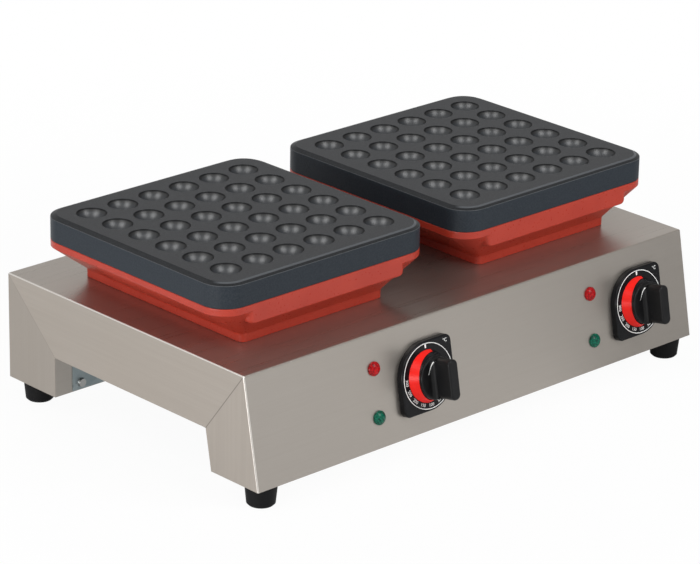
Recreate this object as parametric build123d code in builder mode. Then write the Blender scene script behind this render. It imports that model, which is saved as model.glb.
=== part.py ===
from build123d import *
from math import atan2, cos, sin, tan
import os

# A countertop batter-puff cooker: a folded steel housing on four rubber feet carries two
# red cast bodies, each under a baking plate with a square grid of small round moulds.
# Frame: millimetres, +Z up, controls facing -Y, origin on the floor under the middle of
# the outside size, knobs and cable gland included.

# Housing, folded from stainless sheet
housing_length = 601.2
housing_depth = 350.2
housing_height = 110.5
panel_run = 21.5
sheet = 1.5
bend_radius = 1.8
skirt_height = 68.5
front_leg_depth = 66.0
rear_leg_depth = 73.2
flange_width = 45.0

# Rubber feet and their screws
foot_height = 22.0
foot_top_radius = 16.0
foot_base_radius = 14.0
foot_rim = 1.8
foot_side_inset = 20.0
foot_front_inset = 18.0
foot_rear_inset = 23.2
foot_counterbore_radius = 7.5
foot_counterbore_depth = 11.0
foot_screw_radius = 3.0
foot_screw_head_radius = 6.0
foot_screw_head = 4.0
foot_nut_width = 10.0
foot_nut_height = 5.0

# Galvanised underside cover
cover_sheet = 1.0
cover_side_gap = 21.5
cover_screw_x_inset = 32.0
cover_screw_rise = 8.0
cover_screw_radius = 2.0
cover_screw_head_radius = 4.7
cover_screw_head = 2.6
cover_screw_length = 8.0
cover_nut_width = 7.0
cover_nut_height = 3.2
ceiling_screw_share = 0.25

# Baking modules, set out from the housing's middle with a gap between their plates
plate_gap = 45.4
module_shift_x = -0.6
module_setback = 173.5
gasket = 1.2
gasket_inset = 3.0
gasket_width = 14.0
plinth_length = 184.0
plinth_width = 233.0
plinth_shift_x = 2.0
plinth_shift_y = 4.4
plinth_radius = 6.5
plinth_height = 8.5
flare_height = 32.6
lip_height = 7.0
lip_chamfer = 2.0
apron_length = 201.0
apron_radius = 5.0
apron_drop = 13.3
body_wall = 8.0
body_floor = 6.0
seat_width = 9.0
body_opening_x = 110.0
body_opening_y = 150.0
top_opening_x = 100.0
top_opening_y = 140.0
body_screw_x = 68.0
body_screw_y = 92.0
body_screw_radius = 3.0
body_screw_head_radius = 5.0
body_screw_head = 6.0

# Baking plate
plate_width = 270.0
plate_radius = 27.0
plate_height = 25.3
plate_bevel_drop = 2.5
plate_bevel_width = 6.0
plate_edge_round = 0.9
plate_rim = 7.0
mould_count = 6
mould_spacing = 39.45
mould_radius = 15.0
mould_depth = 11.0
mould_edge = 0.7
element_recess = 10.0
corner_boss_inset = 27.0
corner_boss_radius = 8.0
plate_screw_seat_depth = 7.0
plate_screw_radius = 3.0
plate_screw_head_radius = 5.0
plate_screw_head = 6.0
plate_screw_bite = 10.0

# Tubular heating element and its clamp
element_radius = 4.0
element_seat_gap = 0.2
element_inner_x = 12.0
element_middle_x = 48.0
element_outer_x = 84.0
element_bend_trim = 0.5
element_inner_reach = 97.0
element_outer_reach = 115.0
element_rear_reach = 108.0
cold_end_y = 10.0
cold_end_drop = 22.0
cold_pin_radius = 1.6
cold_pin_length = 6.0
clamp_thickness = 3.0
clamp_width = 16.0
clamp_corner_radius = 4.0
clamp_bar_y = 40.0
clamp_overhang = 14.0
clamp_screw_radius = 2.5
clamp_screw_head_radius = 4.25
clamp_screw_head = 4.0
clamp_boss_radius = 6.0
clamp_screw_bite = 9.0

# Insulation and reflector tray
insulation_gap = 2.0
reflector_sheet = 0.8
reflector_below_lip = 7.0
reflector_length = 200.0
reflector_width = 220.0
reflector_radius = 10.0
service_hole_x = 50.0
service_hole_y = 40.0

# Controls, two identical groups along the panel, each set out from its module's middle
control_left_offset = 80.2
control_right_offset = 64.8
control_drop = 56.7
lamp_offset = -62.8
red_lamp_drop = 34.0
green_lamp_drop = 82.6
bezel_reach = 34.7
bezel_corner = 7.0
bezel_height = 7.2
bezel_round = 1.6
bezel_pocket_radius = 30.0
bezel_pocket_depth = 3.0
bezel_bore_radius = 9.0
bezel_peg_radius = 2.0
bezel_peg_length = 4.0
bezel_peg_reach = 27.0
cone_base_radius = 25.3
cone_top_radius = 20.0
cone_height = 9.0
wedge_thickness = 0.55
wedge_gap = 0.1
wedge_inner_radius = 23.6
wedge_shift = 2.8
wedge_head_x = 13.0
wedge_tail_x = 1.0
knob_gap = 1.0
knob_disc_radius = 21.8
knob_disc_height = 3.6
knob_edge_round = 1.2
knob_height = 43.8
grip_length = 40.4
grip_thickness = 12.0
grip_corner = 5.5
grip_round = 2.0
grip_blend = 4.5
hub_radius = 7.0
spindle_radius = 3.0
spindle_reach = 30.0
bush_radius = 5.0
bush_reach = 2.0
bush_hole_radius = 6.0
thermostat_length = 46.0
thermostat_width = 40.0
thermostat_depth = 30.0
thermostat_corner_radius = 3.0
spindle_depth = 10.0
thermostat_screw_x = 14.0
thermostat_screw_radius = 2.0
thermostat_screw_head_radius = 3.5
thermostat_screw_head = 2.2
thermostat_screw_bite = 6.0
lens_radius = 7.1
lens_flange = 1.5
lens_dome = 4.0
lens_shank_radius = 5.9
lens_shank_length = 10.0
lamp_body_radius = 8.0
lamp_body_length = 26.0
lamp_tag_length = 5.0
lamp_tag_thickness = 0.8
lamp_tag_width = 4.8

# Sensor bulbs and capillaries
bulb_radius = 3.0
bulb_length = 80.0
bulb_end_y = -12.0
capillary_radius = 0.9
capillary_bend = 8.0
capillary_y = 6.0

# Mains inlet, terminal block and earth point
gland_end_inset = 100.0
gland_rise = 32.0
gland_thread_radius = 8.0
gland_bore_radius = 4.2
gland_flange_width = 22.0
gland_flange = 6.0
gland_dome_radius = 10.0
gland_dome_round = 3.3
gland_reach = 24.0
gland_inside = 9.0
locknut_width = 22.0
locknut_height = 5.0
block_offset = -36.5
block_length = 56.0
block_height = 22.0
block_depth = 24.0
block_rise = 40.0
block_screw_spacing = 40.0
block_screw_radius = 2.0
block_screw_head_radius = 4.0
block_screw_head = 2.6
block_screw_bite = 10.0
earth_end_inset = 65.0
earth_screw_radius = 2.5
earth_head_radius = 5.0
earth_head = 3.0
earth_length = 14.0
earth_nut_width = 8.0
earth_nut_height = 4.0

# Internal wires
wire_radius = 1.5
wire_bend = 7.0
wire_lane = 6.0
live_port_x = -12.0
load_port_x = 12.0
wire_port_y = 2.0
capillary_port_y = 14.0
load_level = 41.5
neutral_level = 37.5
neutral_level_step = 4.5

# Clearances
hole_clearance = 0.1
thread_clearance = 0.03
running_clearance = 0.05
press_clearance = 0.02
contact_gap = 0.3

# Levels and places worked out from the sizes above
panel_angle = atan2(panel_run, housing_height)
panel_slant = sheet / cos(panel_angle)
knob_front = (control_drop + grip_length / 2) * sin(panel_angle) + knob_height * cos(panel_angle)
front_y = (knob_front - housing_depth - gland_reach) / 2
rear_y = front_y + housing_depth
bottom_z = foot_height
top_z = bottom_z + housing_height
skirt_z = top_z - skirt_height
rear_leg_y = rear_y - rear_leg_depth
half_length = housing_length / 2
rim_z = top_z + contact_gap
body_z = top_z + gasket
flare_z = rim_z + plinth_height
lip_z = flare_z + flare_height
plate_z = lip_z + lip_height
apron_z = lip_z - apron_drop
floor_z = body_z + body_floor
plate_top_z = plate_z + plate_height
slab_z = plate_z + element_recess
element_z = slab_z - element_seat_gap - element_radius
clamp_z = element_z - element_radius - element_seat_gap
reflector_z = lip_z - reflector_below_lip
module_y = front_y + module_setback
boss_reach = plate_width / 2 - corner_boss_inset
plate_screw_seat_z = lip_z - plate_screw_seat_depth
module_pitch = plate_width + plate_gap
module_x = {"left": module_shift_x - module_pitch / 2, "right": module_shift_x + module_pitch / 2}
plinth_y = module_y + plinth_shift_y
control_x = {
    "left": module_x["left"] + control_left_offset,
    "right": module_x["right"] + control_right_offset,
}
gland_x = half_length - gland_end_inset
block_x = module_x["right"] + block_offset
earth_x = half_length - earth_end_inset
lamp_drops = {"red": red_lamp_drop, "green": green_lamp_drop}


def panel_y(z):
    """Y of the control panel's outer face at height z."""
    return front_y - (top_z - z) * tan(panel_angle)


def front_leg_y(z):
    """Y of the front leg's inner face, which leans as the panel does."""
    return panel_y(z) + front_leg_depth


def panel_plane(x, drop, lift=0.0):
    """Plane on the panel: X along the front, Z straight out, drop measured down the slope."""
    out = Vector(0, -cos(panel_angle), sin(panel_angle))
    spot = Vector(x, front_y - drop * sin(panel_angle), top_z - drop * cos(panel_angle))
    return Plane(origin=spot + out * lift, x_dir=(1, 0, 0), z_dir=out)


def leg_plane(x, rise):
    """Plane on the front leg's inner face, Z pointing into the tunnel."""
    spot = Vector(x, front_leg_y(bottom_z + rise), bottom_z + rise)
    out = Vector(0, cos(panel_angle), -sin(panel_angle))
    return Plane(origin=spot, x_dir=(-1, 0, 0), z_dir=out)


foot_spots = [
    (sign * (half_length - foot_side_inset), y)
    for y in (panel_y(bottom_z) + foot_front_inset, rear_y - foot_rear_inset)
    for sign in (-1, 1)
]
cover_screw_x = half_length - cover_screw_x_inset
tunnel_span = rear_leg_y - front_leg_y(skirt_z)
ceiling_screw_ys = [
    front_leg_y(skirt_z) + share * tunnel_span
    for share in (ceiling_screw_share, 1 - ceiling_screw_share)
]
cover_screw_planes = (
    [leg_plane(s * cover_screw_x, cover_screw_rise) for s in (-1, 1)]
    + [
        Plane((s * cover_screw_x, rear_leg_y, bottom_z + cover_screw_rise), z_dir=(0, -1, 0))
        for s in (-1, 1)
    ]
    + [
        Plane((s * cover_screw_x, y, skirt_z), z_dir=(0, 0, -1))
        for s in (-1, 1)
        for y in ceiling_screw_ys
    ]
)
clamp_screw_x = (element_middle_x + element_outer_x) / 2
clamp_screw_spots = [(sx * clamp_screw_x, sy * clamp_bar_y) for sx in (-1, 1) for sy in (-1, 1)]
element_bend = min(
    (element_middle_x - element_inner_x) / 2, (element_outer_x - element_middle_x) / 2
) - element_bend_trim

os.makedirs("parts", exist_ok=True)

# Housing shell: top, leaning panel, rear wall, side skirts with legs, returned flanges
with BuildPart() as housing_shell:
    with BuildSketch(Plane.YZ.offset(-half_length)):
        with BuildLine():
            Polyline(
                (panel_y(bottom_z), bottom_z),
                (front_y, top_z),
                (rear_y, top_z),
                (rear_y, bottom_z),
                (rear_leg_y, bottom_z),
                (rear_leg_y, skirt_z),
                (front_leg_y(skirt_z), skirt_z),
                (front_leg_y(bottom_z), bottom_z),
                close=True,
            )
        make_face()
    extrude(amount=housing_length)
    top_edges = housing_shell.faces().sort_by(Axis.Z)[-1].edges()
    front_edges = housing_shell.faces().sort_by(Axis.Y)[0].edges()
    rear_edges = housing_shell.faces().sort_by(Axis.Y)[-1].edges()
    corner_edges = (front_edges + rear_edges).filter_by(Axis.X, reverse=True)
    fillet(top_edges + corner_edges, bend_radius)
    with BuildSketch(Plane.YZ.offset(sheet - half_length)):
        with BuildLine():
            Polyline(
                (panel_y(bottom_z + sheet) + panel_slant, bottom_z + sheet),
                (panel_y(top_z - sheet) + panel_slant, top_z - sheet),
                (rear_y - sheet, top_z - sheet),
                (rear_y - sheet, bottom_z + sheet),
                (rear_leg_y + sheet, bottom_z + sheet),
                (rear_leg_y + sheet, skirt_z + sheet),
                (front_leg_y(skirt_z + sheet) - panel_slant, skirt_z + sheet),
                (front_leg_y(bottom_z + sheet) - panel_slant, bottom_z + sheet),
                close=True,
            )
        make_face()
    extrude(amount=housing_length - 2 * sheet, mode=Mode.SUBTRACT)
    with BuildSketch(Plane.YZ.offset(flange_width - half_length)):
        with BuildLine():
            Polyline(
                (front_leg_y(bottom_z + sheet) - panel_slant, bottom_z + sheet),
                (front_leg_y(skirt_z + sheet) - panel_slant, skirt_z + sheet),
                (rear_leg_y + sheet, skirt_z + sheet),
                (rear_leg_y + sheet, bottom_z + sheet),
                (rear_leg_y - sheet, bottom_z + sheet),
                (rear_leg_y - sheet, skirt_z - sheet),
                (front_leg_y(skirt_z) + sheet, skirt_z - sheet),
                (front_leg_y(bottom_z + sheet) + sheet, bottom_z + sheet),
                close=True,
            )
        make_face()
    extrude(amount=housing_length - 2 * flange_width, mode=Mode.SUBTRACT)
    with Locations(*[(x, module_y, top_z) for x in module_x.values()]):
        Box(top_opening_x, top_opening_y, 4 * sheet, mode=Mode.SUBTRACT)
        with GridLocations(2 * body_screw_x, 2 * body_screw_y, 2, 2):
            Cylinder(body_screw_radius + hole_clearance, 4 * sheet, mode=Mode.SUBTRACT)
    for x in control_x.values():
        with BuildSketch(panel_plane(x, control_drop)):
            Circle(bush_hole_radius)
            with Locations((-thermostat_screw_x, 0), (thermostat_screw_x, 0)):
                Circle(thermostat_screw_radius + hole_clearance)
            with Locations((bezel_peg_reach, bezel_peg_reach), (-bezel_peg_reach, -bezel_peg_reach)):
                Circle(bezel_peg_radius + hole_clearance)
        extrude(amount=2 * sheet, both=True, mode=Mode.SUBTRACT)
        for drop in lamp_drops.values():
            with BuildSketch(panel_plane(x + lamp_offset, drop)):
                Circle(lens_shank_radius + hole_clearance)
            extrude(amount=2 * sheet, both=True, mode=Mode.SUBTRACT)
    for plane in cover_screw_planes:
        with BuildSketch(plane):
            Circle(cover_screw_radius + hole_clearance)
        extrude(amount=2 * sheet, both=True, mode=Mode.SUBTRACT)
    with Locations(*[(x, y, bottom_z) for x, y in foot_spots]):
        Cylinder(foot_screw_radius + hole_clearance, 4 * sheet, mode=Mode.SUBTRACT)
    with Locations((earth_x, rear_y - rear_leg_depth / 2, bottom_z)):
        Cylinder(earth_screw_radius + hole_clearance, 4 * sheet, mode=Mode.SUBTRACT)
    with BuildSketch(Plane((0, rear_y, bottom_z), x_dir=(1, 0, 0), z_dir=(0, -1, 0))):
        with Locations((gland_x, gland_rise)):
            Circle(gland_thread_radius + hole_clearance)
        with Locations(
            (block_x - block_screw_spacing / 2, block_rise),
            (block_x + block_screw_spacing / 2, block_rise),
        ):
            Circle(block_screw_radius + hole_clearance)
    extrude(amount=2 * sheet, both=True, mode=Mode.SUBTRACT)
housing_shell.part.label = "housing_shell"
export_step(housing_shell.part, "parts/housing_shell.step")

# Galvanised hat-section cover that closes the housing along the tunnel
cover_slant = cover_sheet / cos(panel_angle)
cover_bottom_z = bottom_z + cover_sheet
with BuildPart() as underside_cover:
    with BuildSketch(Plane.YZ.offset(cover_side_gap - half_length)):
        with BuildLine():
            Polyline(
                (front_leg_y(cover_bottom_z), cover_bottom_z),
                (front_leg_y(skirt_z), skirt_z),
                (rear_leg_y, skirt_z),
                (rear_leg_y, cover_bottom_z),
                (rear_leg_y - cover_sheet, cover_bottom_z),
                (rear_leg_y - cover_sheet, skirt_z - cover_sheet),
                (front_leg_y(skirt_z - cover_sheet) + cover_slant, skirt_z - cover_sheet),
                (front_leg_y(cover_bottom_z) + cover_slant, cover_bottom_z),
                close=True,
            )
        make_face()
    extrude(amount=housing_length - 2 * cover_side_gap)
    for plane in cover_screw_planes:
        with BuildSketch(plane):
            Circle(cover_screw_radius + hole_clearance)
        extrude(amount=2 * sheet, both=True, mode=Mode.SUBTRACT)
underside_cover.part.label = "underside_cover"
export_step(underside_cover.part, "parts/underside_cover.step")

# Pan-head screws of the cover, heads in the tunnel
with BuildPart() as cover_screws:
    for plane in cover_screw_planes:
        with BuildSketch(plane.offset(cover_sheet)):
            Circle(cover_screw_head_radius)
        extrude(amount=cover_screw_head, taper=12)
        with BuildSketch(plane.offset(cover_sheet)):
            Circle(cover_screw_radius)
        extrude(amount=-cover_screw_length)
cover_screws.part.label = "cover_screws"
export_step(cover_screws.part, "parts/cover_screws.step")

# Their nuts, clinched on the inner side of the flanges
with BuildPart() as cover_nuts:
    for plane in cover_screw_planes:
        with BuildSketch(plane.offset(-sheet)):
            RegularPolygon(cover_nut_width / 2, 6, major_radius=False)
            Circle(cover_screw_radius + thread_clearance, mode=Mode.SUBTRACT)
        extrude(amount=-cover_nut_height)
cover_nuts.part.label = "cover_nuts"
export_step(cover_nuts.part, "parts/cover_nuts.step")

# Rubber feet, each a tapered plug with a chamfered rim and a counterbore for its screw
foot_names = ("front_left", "front_right", "rear_left", "rear_right")
for name, (x, y) in zip(foot_names, foot_spots):
    with BuildPart() as foot:
        with BuildSketch(Plane((x, y, 0), x_dir=(1, 0, 0), z_dir=(0, -1, 0))):
            with BuildLine():
                Polyline(
                    (foot_screw_radius + hole_clearance, foot_height),
                    (foot_top_radius, foot_height),
                    (foot_base_radius, foot_rim),
                    (foot_base_radius - foot_rim, 0),
                    (foot_counterbore_radius, 0),
                    (foot_counterbore_radius, foot_counterbore_depth),
                    (foot_screw_radius + hole_clearance, foot_counterbore_depth),
                    close=True,
                )
            make_face()
        revolve(axis=Axis((x, y, 0), (0, 0, 1)))
    foot.part.label = f"foot_{name}"
    export_step(foot.part, f"parts/foot_{name}.step")

with BuildPart() as foot_screws:
    with BuildSketch(Plane.XY.offset(foot_counterbore_depth - foot_screw_head)):
        with Locations(*foot_spots):
            Circle(foot_screw_head_radius)
    extrude(amount=foot_screw_head)
    with BuildSketch(Plane.XY.offset(foot_counterbore_depth)):
        with Locations(*foot_spots):
            Circle(foot_screw_radius)
    extrude(amount=foot_height - foot_counterbore_depth + sheet + foot_nut_height + 1)
foot_screws.part.label = "foot_screws"
export_step(foot_screws.part, "parts/foot_screws.step")

with BuildPart() as foot_nuts:
    with BuildSketch(Plane.XY.offset(bottom_z + sheet)):
        with Locations(*foot_spots):
            RegularPolygon(foot_nut_width / 2, 6, major_radius=False)
            Circle(foot_screw_radius + thread_clearance, mode=Mode.SUBTRACT)
    extrude(amount=foot_nut_height)
foot_nuts.part.label = "foot_nuts"
export_step(foot_nuts.part, "parts/foot_nuts.step")

# The two baking modules, alike and side by side
for side, x in module_x.items():
    # Flat gasket between the steel top and the casting, out of sight inside its rim
    plinth_x = x + plinth_shift_x
    with BuildPart() as body_gasket:
        with BuildSketch(Plane.XY.offset(top_z)):
            with Locations((plinth_x, plinth_y)):
                RectangleRounded(
                    plinth_length - 2 * gasket_inset,
                    plinth_width - 2 * gasket_inset,
                    plinth_radius - gasket_inset,
                )
                Rectangle(
                    plinth_length - 2 * gasket_width,
                    plinth_width - 2 * gasket_width,
                    mode=Mode.SUBTRACT,
                )
        extrude(amount=gasket)
    body_gasket.part.label = f"body_gasket_{side}"
    export_step(body_gasket.part, f"parts/body_gasket_{side}.step")

    # Hollow of the red casting, with a screw boss left standing in each corner
    with BuildPart() as body_cavity:
        with BuildSketch(Plane.XY.offset(floor_z)):
            with Locations((plinth_x, plinth_y)):
                RectangleRounded(
                    plinth_length - 2 * body_wall, plinth_width - 2 * body_wall, plinth_radius
                )
        with BuildSketch(Plane.XY.offset(lip_z)):
            with Locations((x, module_y)):
                RectangleRounded(
                    plate_width - 2 * seat_width,
                    plate_width - 2 * seat_width,
                    plate_radius - seat_width,
                )
        loft(ruled=True)
        with BuildSketch(Plane.XY.offset(lip_z)):
            with Locations((x, module_y)):
                RectangleRounded(
                    plate_width - 2 * seat_width,
                    plate_width - 2 * seat_width,
                    plate_radius - seat_width,
                )
        extrude(amount=2 * lip_height)
        with BuildSketch(Plane.XY.offset(floor_z)):
            with Locations((x, module_y)):
                with GridLocations(2 * boss_reach, 2 * boss_reach, 2, 2):
                    Circle(corner_boss_radius)
        extrude(amount=2 * (plate_z - floor_z), mode=Mode.SUBTRACT)

    # Red casting: plinth, flare, lip under the plate, aprons flush with its front and rear
    with BuildPart() as cast_body:
        with BuildSketch(Plane.XY.offset(rim_z)):
            with Locations((plinth_x, plinth_y)):
                RectangleRounded(plinth_length, plinth_width, plinth_radius)
        extrude(amount=plinth_height)
        with BuildSketch(Plane.XY.offset(flare_z)):
            with Locations((plinth_x, plinth_y)):
                RectangleRounded(plinth_length, plinth_width, plinth_radius)
        with BuildSketch(Plane.XY.offset(lip_z)):
            with Locations((x, module_y)):
                RectangleRounded(
                    plate_width - 2 * lip_chamfer,
                    plate_width - 2 * lip_chamfer,
                    plate_radius - lip_chamfer,
                )
        loft(ruled=True)
        with BuildSketch(Plane.XY.offset(lip_z)):
            with Locations((x, module_y)):
                RectangleRounded(
                    plate_width - 2 * lip_chamfer,
                    plate_width - 2 * lip_chamfer,
                    plate_radius - lip_chamfer,
                )
        with BuildSketch(Plane.XY.offset(lip_z + lip_chamfer)):
            with Locations((x, module_y)):
                RectangleRounded(plate_width, plate_width, plate_radius)
        loft(ruled=True)
        with BuildSketch(Plane.XY.offset(lip_z + lip_chamfer)):
            with Locations((x, module_y)):
                RectangleRounded(plate_width, plate_width, plate_radius)
        extrude(amount=lip_height - lip_chamfer)
        with BuildSketch(Plane.XY.offset(apron_z)):
            with Locations((x, module_y)):
                RectangleRounded(apron_length, plate_width, apron_radius)
        extrude(amount=plate_z - apron_z)
        add(body_cavity.part, mode=Mode.SUBTRACT)
        with BuildSketch(Plane.XY.offset(rim_z)):
            with Locations((plinth_x, plinth_y)):
                RectangleRounded(
                    plinth_length - 2 * gasket_inset + 2 * hole_clearance,
                    plinth_width - 2 * gasket_inset + 2 * hole_clearance,
                    plinth_radius - gasket_inset + hole_clearance,
                )
        extrude(amount=body_z - rim_z, mode=Mode.SUBTRACT)
        with Locations((x, module_y, body_z)):
            Box(body_opening_x, body_opening_y, 3 * body_floor, mode=Mode.SUBTRACT)
        with Locations((x, module_y, plate_screw_seat_z)):
            with GridLocations(2 * boss_reach, 2 * boss_reach, 2, 2):
                Cylinder(
                    plate_screw_radius + hole_clearance,
                    3 * (plate_z - plate_screw_seat_z),
                    mode=Mode.SUBTRACT,
                )
                Cylinder(
                    plate_screw_head_radius + hole_clearance,
                    flare_height + plinth_height,
                    align=(Align.CENTER, Align.CENTER, Align.MAX),
                    mode=Mode.SUBTRACT,
                )
        with Locations((x, module_y, body_z)):
            with GridLocations(2 * body_screw_x, 2 * body_screw_y, 2, 2):
                Cylinder(
                    body_screw_radius + thread_clearance, 3 * body_floor, mode=Mode.SUBTRACT
                )
    cast_body.part.label = f"cast_body_{side}"
    export_step(cast_body.part, f"parts/cast_body_{side}.step")

    # Baking plate with its moulds, hollowed underneath for the element
    with BuildPart() as baking_plate:
        with BuildSketch(Plane.XY.offset(plate_z)):
            with Locations((x, module_y)):
                RectangleRounded(plate_width, plate_width, plate_radius)
        extrude(amount=plate_height - plate_bevel_drop)
        with BuildSketch(Plane.XY.offset(plate_top_z - plate_bevel_drop)):
            with Locations((x, module_y)):
                RectangleRounded(plate_width, plate_width, plate_radius)
        with BuildSketch(Plane.XY.offset(plate_top_z)):
            with Locations((x, module_y)):
                RectangleRounded(
                    plate_width - 2 * plate_bevel_width,
                    plate_width - 2 * plate_bevel_width,
                    plate_radius - plate_bevel_width,
                )
        loft(ruled=True)
        top_rim = baking_plate.edges().group_by(Axis.Z)[-1]
        shoulder = baking_plate.edges().filter_by_position(
            Axis.Z,
            plate_top_z - plate_bevel_drop - 0.01,
            plate_top_z - plate_bevel_drop + 0.01,
        )
        fillet(top_rim + shoulder, plate_edge_round)
        with BuildSketch(Plane.XY.offset(plate_z)):
            with Locations((x, module_y)):
                RectangleRounded(
                    plate_width - 2 * plate_rim, plate_width - 2 * plate_rim, plate_radius - plate_rim
                )
        extrude(amount=element_recess, mode=Mode.SUBTRACT)
        with BuildSketch(Plane.XY.offset(plate_z)):
            with Locations((x, module_y)):
                with GridLocations(2 * boss_reach, 2 * boss_reach, 2, 2):
                    Circle(corner_boss_radius)
        extrude(amount=element_recess)
        with BuildSketch(Plane.XY.offset(clamp_z + element_seat_gap / 2)):
            with Locations((x, module_y)):
                with Locations(*clamp_screw_spots):
                    Circle(clamp_boss_radius)
        extrude(amount=slab_z - clamp_z - element_seat_gap / 2)
        with Locations((x, module_y, plate_z)):
            with GridLocations(2 * boss_reach, 2 * boss_reach, 2, 2):
                Cylinder(
                    plate_screw_radius + thread_clearance,
                    2 * (plate_screw_bite + contact_gap),
                    mode=Mode.SUBTRACT,
                )
        with Locations((x, module_y, clamp_z)):
            with Locations(*clamp_screw_spots):
                Cylinder(
                    clamp_screw_radius + thread_clearance,
                    2 * (clamp_screw_bite + contact_gap),
                    mode=Mode.SUBTRACT,
                )
        mould_sphere = (mould_radius**2 + mould_depth**2) / (2 * mould_depth)
        with Locations((x, module_y, plate_top_z)):
            with GridLocations(mould_spacing, mould_spacing, mould_count, mould_count):
                with Locations((0, 0, mould_sphere - mould_depth)):
                    Sphere(mould_sphere, mode=Mode.SUBTRACT)
                Cone(
                    mould_radius - mould_edge,
                    mould_radius + mould_edge,
                    2 * mould_edge,
                    mode=Mode.SUBTRACT,
                )
    baking_plate.part.label = f"baking_plate_{side}"
    export_step(baking_plate.part, f"parts/baking_plate_{side}.step")

    # Tubular element: two folded runs each side, joined across the front, ends turned down
    low_z = top_z - cold_end_drop
    route = [
        (-element_inner_x, cold_end_y, low_z),
        (-element_inner_x, cold_end_y, element_z),
        (-element_inner_x, -element_inner_reach, element_z),
        (-element_middle_x, -element_inner_reach, element_z),
        (-element_middle_x, element_rear_reach, element_z),
        (-element_outer_x, element_rear_reach, element_z),
        (-element_outer_x, -element_outer_reach, element_z),
    ]
    route = route + [(-px, py, pz) for px, py, pz in reversed(route)]
    with BuildPart() as heating_element:
        with BuildLine() as element_path:
            FilletPolyline(
                *[(x + px, module_y + py, pz) for px, py, pz in route],
                radius=element_bend,
            )
        with BuildSketch(Plane(origin=element_path.line @ 0, z_dir=element_path.line % 0)):
            Circle(element_radius)
        sweep()
        with Locations(
            (x - element_inner_x, module_y + cold_end_y, low_z),
            (x + element_inner_x, module_y + cold_end_y, low_z),
        ):
            Cylinder(
                cold_pin_radius,
                cold_pin_length,
                align=(Align.CENTER, Align.CENTER, Align.MAX),
            )
    heating_element.part.label = f"heating_element_{side}"
    export_step(heating_element.part, f"parts/heating_element_{side}.step")

    # Flat ladder-shaped clamp that holds the element up against the plate
    with BuildPart() as element_clamp:
        with BuildSketch(Plane.XY.offset(clamp_z)):
            with Locations((x, module_y)):
                with Locations((0, -clamp_bar_y), (0, clamp_bar_y)):
                    RectangleRounded(
                        2 * (element_outer_x + clamp_overhang), clamp_width, clamp_corner_radius
                    )
                for px, _ in clamp_screw_spots[::2]:
                    with Locations((px, 0)):
                        Rectangle(clamp_width, 2 * clamp_bar_y)
                with Locations(*clamp_screw_spots):
                    Circle(clamp_screw_radius + hole_clearance, mode=Mode.SUBTRACT)
        extrude(amount=-clamp_thickness)
    element_clamp.part.label = f"element_clamp_{side}"
    export_step(element_clamp.part, f"parts/element_clamp_{side}.step")

    # Fibre block on the floor of the casting
    with BuildPart() as insulation:
        with BuildSketch(Plane.XY.offset(floor_z)):
            with Locations((plinth_x, plinth_y)):
                Rectangle(
                    plinth_length - 2 * (body_wall + insulation_gap),
                    plinth_width - 2 * (body_wall + insulation_gap),
                )
            with Locations((x, module_y + cold_end_y)):
                Rectangle(service_hole_x, service_hole_y, mode=Mode.SUBTRACT)
        extrude(amount=reflector_z - floor_z)
    insulation.part.label = f"insulation_{side}"
    export_step(insulation.part, f"parts/insulation_{side}.step")

    # Bright tray on top of the fibre
    with BuildPart() as reflector:
        with BuildSketch(Plane.XY.offset(reflector_z)):
            with Locations((x, module_y)):
                RectangleRounded(reflector_length, reflector_width, reflector_radius)
                with Locations((0, cold_end_y)):
                    Rectangle(service_hole_x, service_hole_y, mode=Mode.SUBTRACT)
        extrude(amount=reflector_sheet)
    reflector.part.label = f"reflector_{side}"
    export_step(reflector.part, f"parts/reflector_{side}.step")

# Screws of the modules, one group of each kind
module_spots = [(x, module_y) for x in module_x.values()]
with BuildPart() as plate_screws:
    with BuildSketch(Plane.XY.offset(plate_screw_seat_z - plate_screw_head)):
        with Locations(*module_spots):
            with GridLocations(2 * boss_reach, 2 * boss_reach, 2, 2):
                Circle(plate_screw_head_radius)
    extrude(amount=plate_screw_head)
    with BuildSketch(Plane.XY.offset(plate_screw_seat_z)):
        with Locations(*module_spots):
            with GridLocations(2 * boss_reach, 2 * boss_reach, 2, 2):
                Circle(plate_screw_radius)
    extrude(amount=plate_z + plate_screw_bite - plate_screw_seat_z)
plate_screws.part.label = "plate_screws"
export_step(plate_screws.part, "parts/plate_screws.step")

with BuildPart() as body_screws:
    with BuildSketch(Plane.XY.offset(top_z - sheet - body_screw_head)):
        with Locations(*module_spots):
            with GridLocations(2 * body_screw_x, 2 * body_screw_y, 2, 2):
                Circle(body_screw_head_radius)
    extrude(amount=body_screw_head)
    with BuildSketch(Plane.XY.offset(top_z - sheet)):
        with Locations(*module_spots):
            with GridLocations(2 * body_screw_x, 2 * body_screw_y, 2, 2):
                Circle(body_screw_radius)
    extrude(amount=floor_z - contact_gap - top_z + sheet)
body_screws.part.label = "body_screws"
export_step(body_screws.part, "parts/body_screws.step")

with BuildPart() as clamp_screws:
    with BuildSketch(Plane.XY.offset(clamp_z - clamp_thickness - clamp_screw_head)):
        with Locations(*module_spots):
            with Locations(*clamp_screw_spots):
                Circle(clamp_screw_head_radius)
    extrude(amount=clamp_screw_head)
    with BuildSketch(Plane.XY.offset(clamp_z - clamp_thickness)):
        with Locations(*module_spots):
            with Locations(*clamp_screw_spots):
                Circle(clamp_screw_radius)
    extrude(amount=clamp_thickness + clamp_screw_bite)
clamp_screws.part.label = "clamp_screws"
export_step(clamp_screws.part, "parts/clamp_screws.step")

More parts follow.
